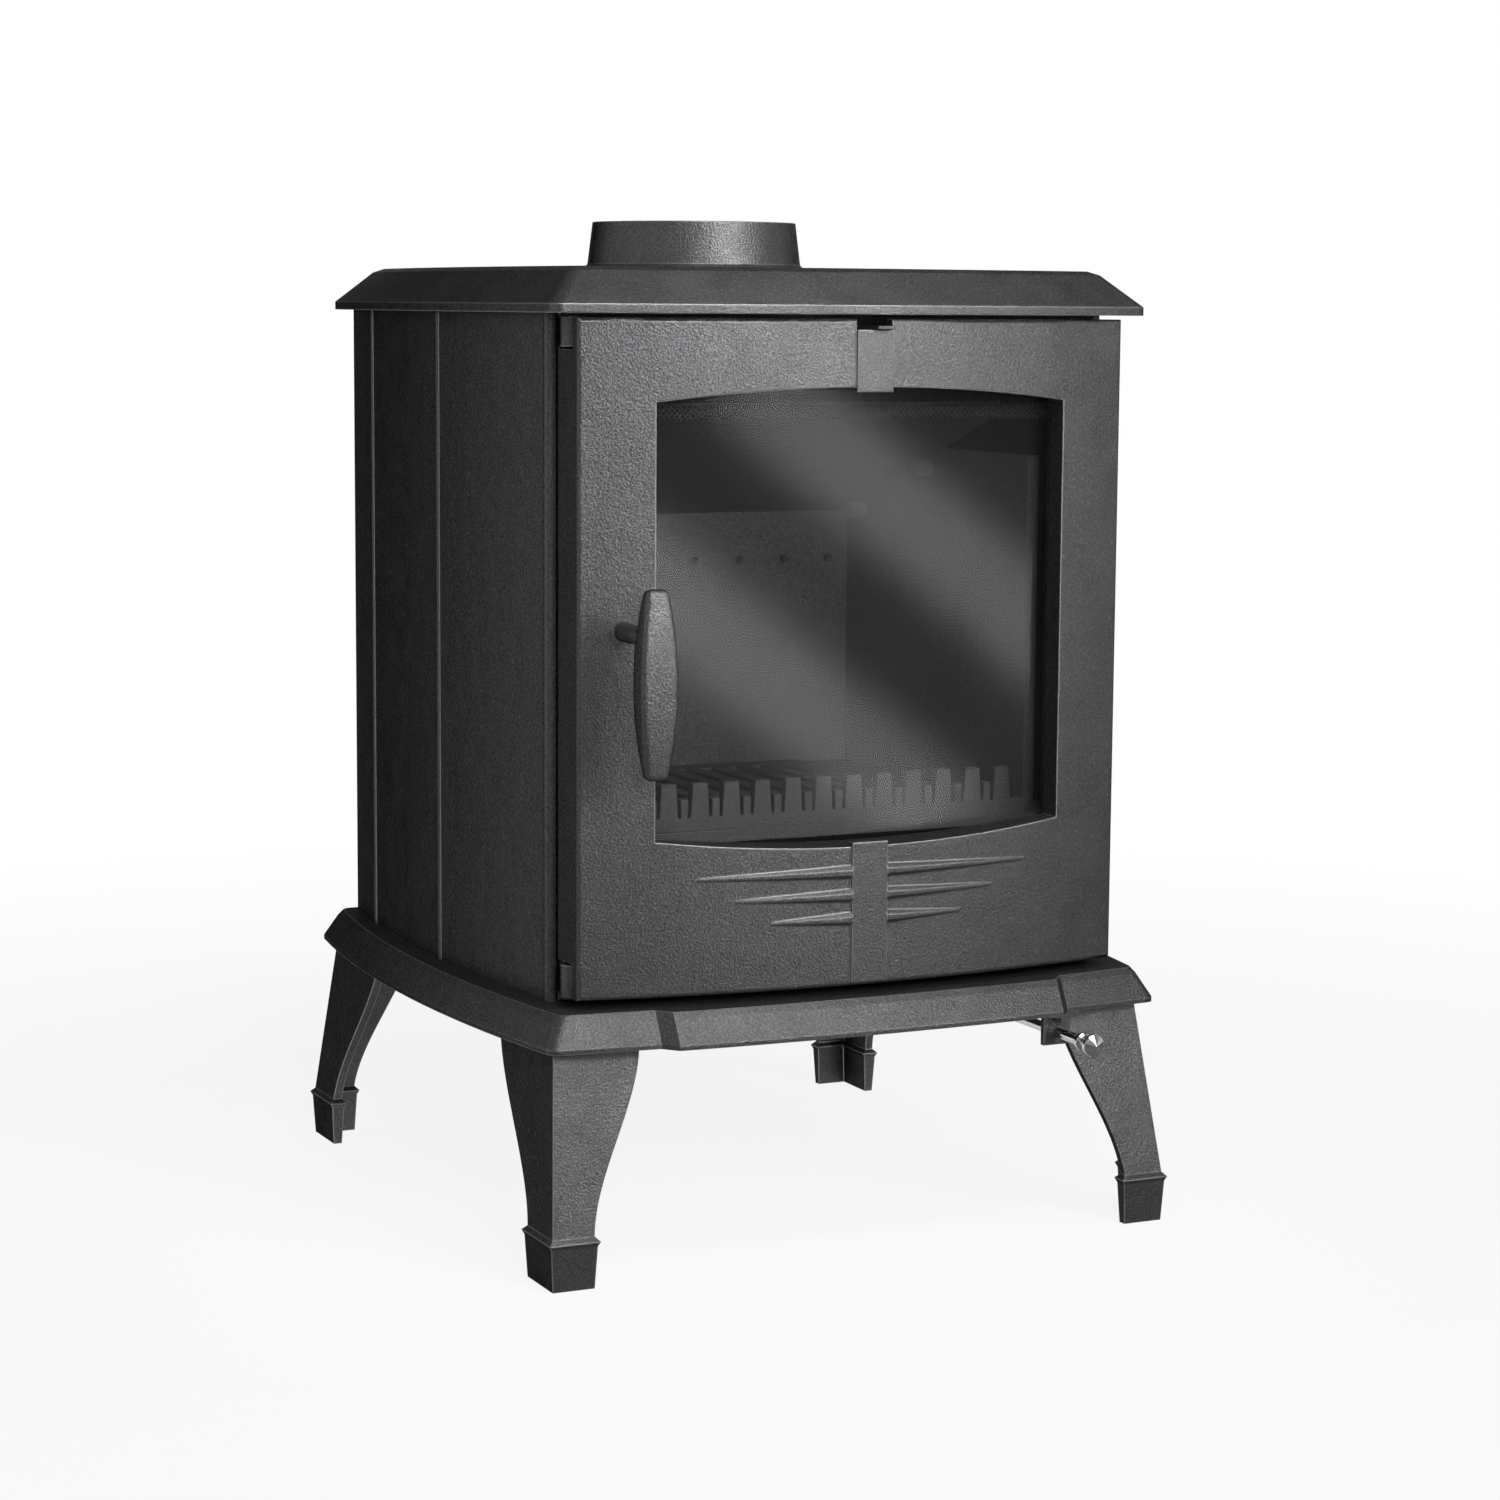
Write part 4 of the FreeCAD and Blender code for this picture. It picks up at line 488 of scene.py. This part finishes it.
dark_steel = brushed_metal("dark_steel", STEEL_GREYS, metal=0.6, roughness=0.45, stretch=(1, 1, 0.2),
                           line_depth=0.0002)
chrome = brushed_metal("chrome", CHROME_GREYS, metal=1.0, roughness=0.1, stretch=(1, 0.1, 1),
                       line_depth=0.00002)
print("steel and chrome made")

# %% [markdown]
# ## Ceramic glass
# The pane is clear ceramic glass with a faint grey tint and a film of dust. Real refraction through a
# thin flat pane hardly shifts what is behind it, so the pane is made see-through with alpha, which also
# lets light into the firebox. A slightly rough surface keeps its reflections soft.

# %% Ceramic glass
FILM_SCALE = 9
FILM_TINTS = ((0.004, 0.004, 0.005), (0.01, 0.01, 0.011))
CLEAREST = 0.3
DUSTIEST = 0.34


def make_ceramic_glass():
    finish, tree, shader = new_finish("ceramic_glass", metal=0.0, roughness=0.11, specular=0.25)
    film = noise(tree, object_place(tree), FILM_SCALE, detail=4)
    tint = shades(tree, film, list(zip((NOISE_LOW, NOISE_HIGH), FILM_TINTS)))
    tree.links.new(tint, shader.inputs["Base Color"])
    tree.links.new(span(tree, film, NOISE_LOW, NOISE_HIGH, CLEAREST, DUSTIEST), shader.inputs["Alpha"])
    return finish


ceramic_glass = make_ceramic_glass()
print("glass made")

# %% [markdown]
# ## Seal rope
# The door seal is a rope of braided glass fibre and the pane's seal is a flat tape of the same yarn, both
# black. A braid is two sets of strands that cross on a slant. Two wave textures that run along opposite
# diagonals of the door make that cross pattern as bumps and as colour.

# %% Seal rope
STRAND_SLANTS = (math.radians(45), math.radians(-45))
STRAND_WOBBLE = 0.8
STRAND_DEPTH = 0.0012
STRAND_SHADES = [(0.2, (0.012, 0.012, 0.012)), (0.95, (0.07, 0.07, 0.07))]
FUZZ_SCALE = 1500
FUZZ_DEPTH = 0.0004
ROPE_STRAND_SCALE = 120
TAPE_STRAND_SCALE = 260


def seal_yarn(name, strand_scale):
    finish, tree, shader = new_finish(name, metal=0.0, roughness=0.85, specular=0.2)
    place = object_place(tree)
    heights = []
    for angle in STRAND_SLANTS:
        mapping = tree.nodes.new("ShaderNodeMapping")
        mapping.inputs["Rotation"].default_value = (0, angle, 0)
        tree.links.new(place, mapping.inputs["Vector"])
        strands = tree.nodes.new("ShaderNodeTexWave")
        strands.inputs["Scale"].default_value = strand_scale
        strands.inputs["Distortion"].default_value = STRAND_WOBBLE
        tree.links.new(mapping.outputs["Vector"], strands.inputs["Vector"])
        heights.append(strands.outputs["Fac"])
    weave = larger(tree, *heights)
    fuzz = noise(tree, place, FUZZ_SCALE, detail=2)
    tree.links.new(shades(tree, weave, STRAND_SHADES), shader.inputs["Base Color"])
    strand_normal = bumps(tree, weave, STRAND_DEPTH)
    tree.links.new(bumps(tree, fuzz, FUZZ_DEPTH, strand_normal), shader.inputs["Normal"])
    return finish


rope_yarn = seal_yarn("rope_yarn", ROPE_STRAND_SCALE)
tape_yarn = seal_yarn("tape_yarn", TAPE_STRAND_SCALE)
print("seal yarns made")

# %% [markdown]
# ## Dress the castings
# The measured castings keep their shapes. Each one only gets its finish, by the slot that its record
# names.

# %% Dress the castings
finishes = {
    "stove_iron": stove_iron,
    "firebox_iron": firebox_iron,
    "dark_steel": dark_steel,
    "chrome": chrome,
    "ceramic_glass": ceramic_glass,
    "seal_rope": rope_yarn,
}
for part in frame["record"]["subparts"]:
    casting = nodes[part["node"]]
    casting.data.materials.clear()
    casting.data.materials.append(finishes[part["material_slot"]])

# %% [markdown]
# ## Tools for modelling
# The hand-made pieces start from a primitive and are shaped in edit mode. These helpers deselect
# everything first, because an operator acts on all that is selected, and at the end they name the piece,
# give it its finish and let it ride on its body in place of the plain solid.

# %% Tools for modelling
SEAM_GAP = 0.00002


def start(add, **values):
    """Add a primitive alone, put its place and size into its mesh and go into edit mode."""
    bpy.ops.object.select_all(action="DESELECT")
    add(**values)
    piece = bpy.context.object
    bpy.ops.object.transform_apply(location=True, rotation=True, scale=True)
    bpy.ops.object.mode_set(mode="EDIT")
    return piece


def close_up(angle=40):
    """Join loose seams, turn the faces outwards and leave edit mode with smooth shading."""
    bpy.ops.mesh.select_all(action="SELECT")
    bpy.ops.mesh.remove_doubles(threshold=SEAM_GAP)
    bpy.ops.mesh.normals_make_consistent(inside=False)
    bpy.ops.object.mode_set(mode="OBJECT")
    bpy.ops.object.shade_smooth_by_angle(angle=math.radians(angle))


def use_modifier(piece, kind, **values):
    modifier = piece.modifiers.new(kind.lower(), kind)
    for name, value in values.items():
        setattr(modifier, name, value)
    bpy.ops.object.modifier_apply(modifier=modifier.name)


def settle(piece, name, finish, body, node):
    """Name a finished piece, dress it, and let it stand for its plain node."""
    piece.name = name
    piece.data.materials.clear()
    piece.data.materials.append(finish)
    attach(piece, body)
    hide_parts(node)
    print(name, "has", len(piece.data.polygons), "faces")


print("modelling tools ready")

# %% [markdown]
# ## The rope seal
# On the real door the rope lies in a groove and closes on itself. One way is a curve with a round bevel,
# but the path is only straight runs and quarter bends, so a ring is extruded along each run and spun
# round each corner. Known fault: the spin turns each corner inwards, so the level runs leave the groove
# and lie two corner radii too near the middle, the upper one across the window. A spin of +90 degrees
# should turn the corners outwards, but that was not tried.

# %% The rope seal
ROPE_SIDES = 20
ROPE_CORNER = 0.016
CORNER_STEPS = 8


def make_rope_seal():
    low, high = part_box("door_rope_seal")
    radius = (high.y - low.y) / 2
    depth = (high.y + low.y) / 2
    right_x, top_z = high.x - radius, high.z - radius
    left_x, low_z = low.x + radius, low.z + radius
    across = right_x - left_x - 2 * ROPE_CORNER
    tall = top_z - low_z - 2 * ROPE_CORNER
    rope = start(bpy.ops.mesh.primitive_circle_add, vertices=ROPE_SIDES, radius=radius,
                 location=(right_x, depth, low_z + ROPE_CORNER))
    bpy.ops.mesh.select_all(action="SELECT")
    runs = [((0, 0, tall), (right_x - ROPE_CORNER, top_z - ROPE_CORNER)),
            ((-across, 0, 0), (left_x + ROPE_CORNER, top_z - ROPE_CORNER)),
            ((0, 0, -tall), (left_x + ROPE_CORNER, low_z + ROPE_CORNER)),
            ((across, 0, 0), (right_x - ROPE_CORNER, low_z + ROPE_CORNER))]
    for run, (corner_x, corner_z) in runs:
        bpy.ops.mesh.extrude_region_move(TRANSFORM_OT_translate={"value": run})
        corner = (corner_x, depth, corner_z)
        bpy.ops.mesh.spin(steps=CORNER_STEPS, angle=math.radians(-90), center=corner, axis=(0, 1, 0))
    close_up()
    settle(rope, "rope_seal", rope_yarn, "door", "door_rope_seal")


make_rope_seal()

# %% [markdown]
# ## The glass tape
# A thin tape lies between the pane and the door, from the pane's edge to the window. A ring of points is
# extruded once. The first ring is then laid on the window's outline, whose top and bottom are bowed, and
# the second on the pane's edge, and the band between them is given its thickness. Known fault: the
# thickness goes backwards, into the pane. An offset of 1 should lay it on the door's side, but that was
# not tried.

# %% The glass tape
TAPE_POINTS = 96
WINDOW_HALF = 0.1435
WINDOW_LOW = 0.2732
WINDOW_HIGH = 0.5455
WINDOW_BOW = 0.009


def ring_point(turn):
    """A point of a square ring from -1 to 1, a share of the way round it."""
    side, along = divmod(turn * 4, 1)
    corners = [(-1, -1), (1, -1), (1, 1), (-1, 1), (-1, -1)]
    (x0, y0), (x1, y1) = corners[int(side)], corners[int(side) + 1]
    return x0 + (x1 - x0) * along, y0 + (y1 - y0) * along


def make_glass_tape():
    low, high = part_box("glass_seal_tape")
    middle, half = (WINDOW_HIGH + WINDOW_LOW) / 2, (WINDOW_HIGH - WINDOW_LOW) / 2
    tape = start(bpy.ops.mesh.primitive_circle_add, vertices=TAPE_POINTS, radius=half,
                 location=(0, high.y, middle))
    bpy.ops.mesh.select_all(action="SELECT")
    bpy.ops.mesh.extrude_region_move()
    bpy.ops.object.mode_set(mode="OBJECT")
    for index, point in enumerate(tape.data.vertices):
        u, v = ring_point(index % TAPE_POINTS / TAPE_POINTS)
        if index < TAPE_POINTS:
            bow = WINDOW_BOW * (1 - u * u) * v
            point.co = (u * WINDOW_HALF, high.y, middle + v * half + bow)
        else:
            point.co = (u * high.x, high.y, (high.z + low.z) / 2 + v * (high.z - low.z) / 2)
    bpy.ops.object.mode_set(mode="EDIT")
    close_up()
    use_modifier(tape, "SOLIDIFY", thickness=high.y - low.y, offset=-1)
    bpy.ops.object.mode_set(mode="EDIT")
    close_up()
    settle(tape, "glass_tape", tape_yarn, "door", "glass_seal_tape")


make_glass_tape()

# %% [markdown]
# ## The door grip
# The grip is a cast bar, swollen in the middle and drawn in at both ends, with a flat face and softened
# edges. A tall box is cut into slices, each slice is drawn in by a smooth curve, and the edges are
# bevelled. A surface modifier then rounds the facets between the slices.

# %% The door grip
GRIP_SLICES = 11
GRIP_END_WIDTH = 0.56
GRIP_END_DEPTH = 0.55
GRIP_EDGE = 0.0032
GRIP_END_SHARE = 0.49
LEVEL_REACH = 0.0005


def select_where(piece, test):
    """Select the points of a piece in edit mode that a test on their place picks out."""
    bpy.ops.mesh.select_all(action="DESELECT")
    bpy.ops.object.mode_set(mode="OBJECT")
    for point in piece.data.vertices:
        point.select = test(point.co)
    bpy.ops.object.mode_set(mode="EDIT")


def select_edges(piece, test):
    """Select the edges of a piece in edit mode by a test on their two end points."""
    bpy.ops.mesh.select_mode(type="EDGE")
    bpy.ops.mesh.select_all(action="DESELECT")
    bpy.ops.object.mode_set(mode="OBJECT")
    points = piece.data.vertices
    for edge in piece.data.edges:
        first, second = (points[index].co for index in edge.vertices)
        edge.select = test(first, second)
    bpy.ops.object.mode_set(mode="EDIT")


def make_grip():
    low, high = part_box("handle_grip")
    middle = (low + high) / 2
    size = high - low
    grip = start(bpy.ops.mesh.primitive_cube_add, size=1, location=middle, scale=size)
    select_edges(grip, lambda first, second: abs(first.z - second.z) > size.z / 2)
    bpy.ops.mesh.subdivide(number_cuts=GRIP_SLICES)
    bpy.ops.mesh.select_mode(type="VERT")
    for cut in range(GRIP_SLICES + 2):
        level = low.z + size.z * cut / (GRIP_SLICES + 1)
        away = (2 * cut / (GRIP_SLICES + 1) - 1) ** 2
        wide = 1 - (1 - GRIP_END_WIDTH) * away
        deep = 1 - (1 - GRIP_END_DEPTH) * away
        select_where(grip, lambda point: abs(point.z - level) < LEVEL_REACH)
        bpy.ops.transform.resize(value=(wide, deep, 1), center_override=(middle.x, middle.y, level))
    end_height = size.z * GRIP_END_SHARE
    select_edges(grip, lambda first, second: abs(first.z - second.z) > 2 * LEVEL_REACH
                 or abs(first.z - middle.z) > end_height)
    bpy.ops.mesh.bevel(offset=GRIP_EDGE, segments=3, affect="EDGES")
    close_up()
    use_modifier(grip, "SUBSURF", levels=2, render_levels=2)
    settle(grip, "door_grip", stove_iron, "handle", "handle_grip")


make_grip()

# %% [markdown]
# ## The air pull knob
# The knob is a small turned piece: a collar on the rod, a waist, a flare and a blunt cone at the front. A
# disc is extruded forwards and scaled at each step of that profile, as on a lathe. The profile gives each
# step as a share of the knob's length and of its radius, and a short extra step eases each rim.

# %% The air pull knob
KNOB_SIDES = 40
KNOB_CREASE = 30
KNOB_PROFILE = [(0.0, 0.78), (0.10, 0.82), (0.16, 0.78), (0.20, 0.55), (0.34, 0.52), (0.66, 0.96),
                (0.72, 1.0), (0.80, 1.0), (0.84, 0.95), (0.98, 0.16), (1.0, 0.08)]


def make_knob():
    low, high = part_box("primary_air_knob")
    radius = (high.x - low.x) / 2
    length = high.y - low.y
    axis_x, axis_z = (low.x + high.x) / 2, (low.z + high.z) / 2
    knob = start(bpy.ops.mesh.primitive_circle_add, vertices=KNOB_SIDES, fill_type="NGON",
                 radius=radius * KNOB_PROFILE[0][1], location=(axis_x, high.y, axis_z),
                 rotation=(math.radians(90), 0, 0))
    bpy.ops.mesh.select_all(action="SELECT")
    for (before, old), (after, new) in zip(KNOB_PROFILE, KNOB_PROFILE[1:]):
        step = (0, -(after - before) * length, 0)
        bpy.ops.mesh.extrude_region_move(TRANSFORM_OT_translate={"value": step})
        centre = (axis_x, high.y - after * length, axis_z)
        bpy.ops.transform.resize(value=(new / old, 1, new / old), center_override=centre)
    close_up(angle=KNOB_CREASE)
    settle(knob, "air_pull_knob", chrome, "primary_air_control", "primary_air_knob")


make_knob()
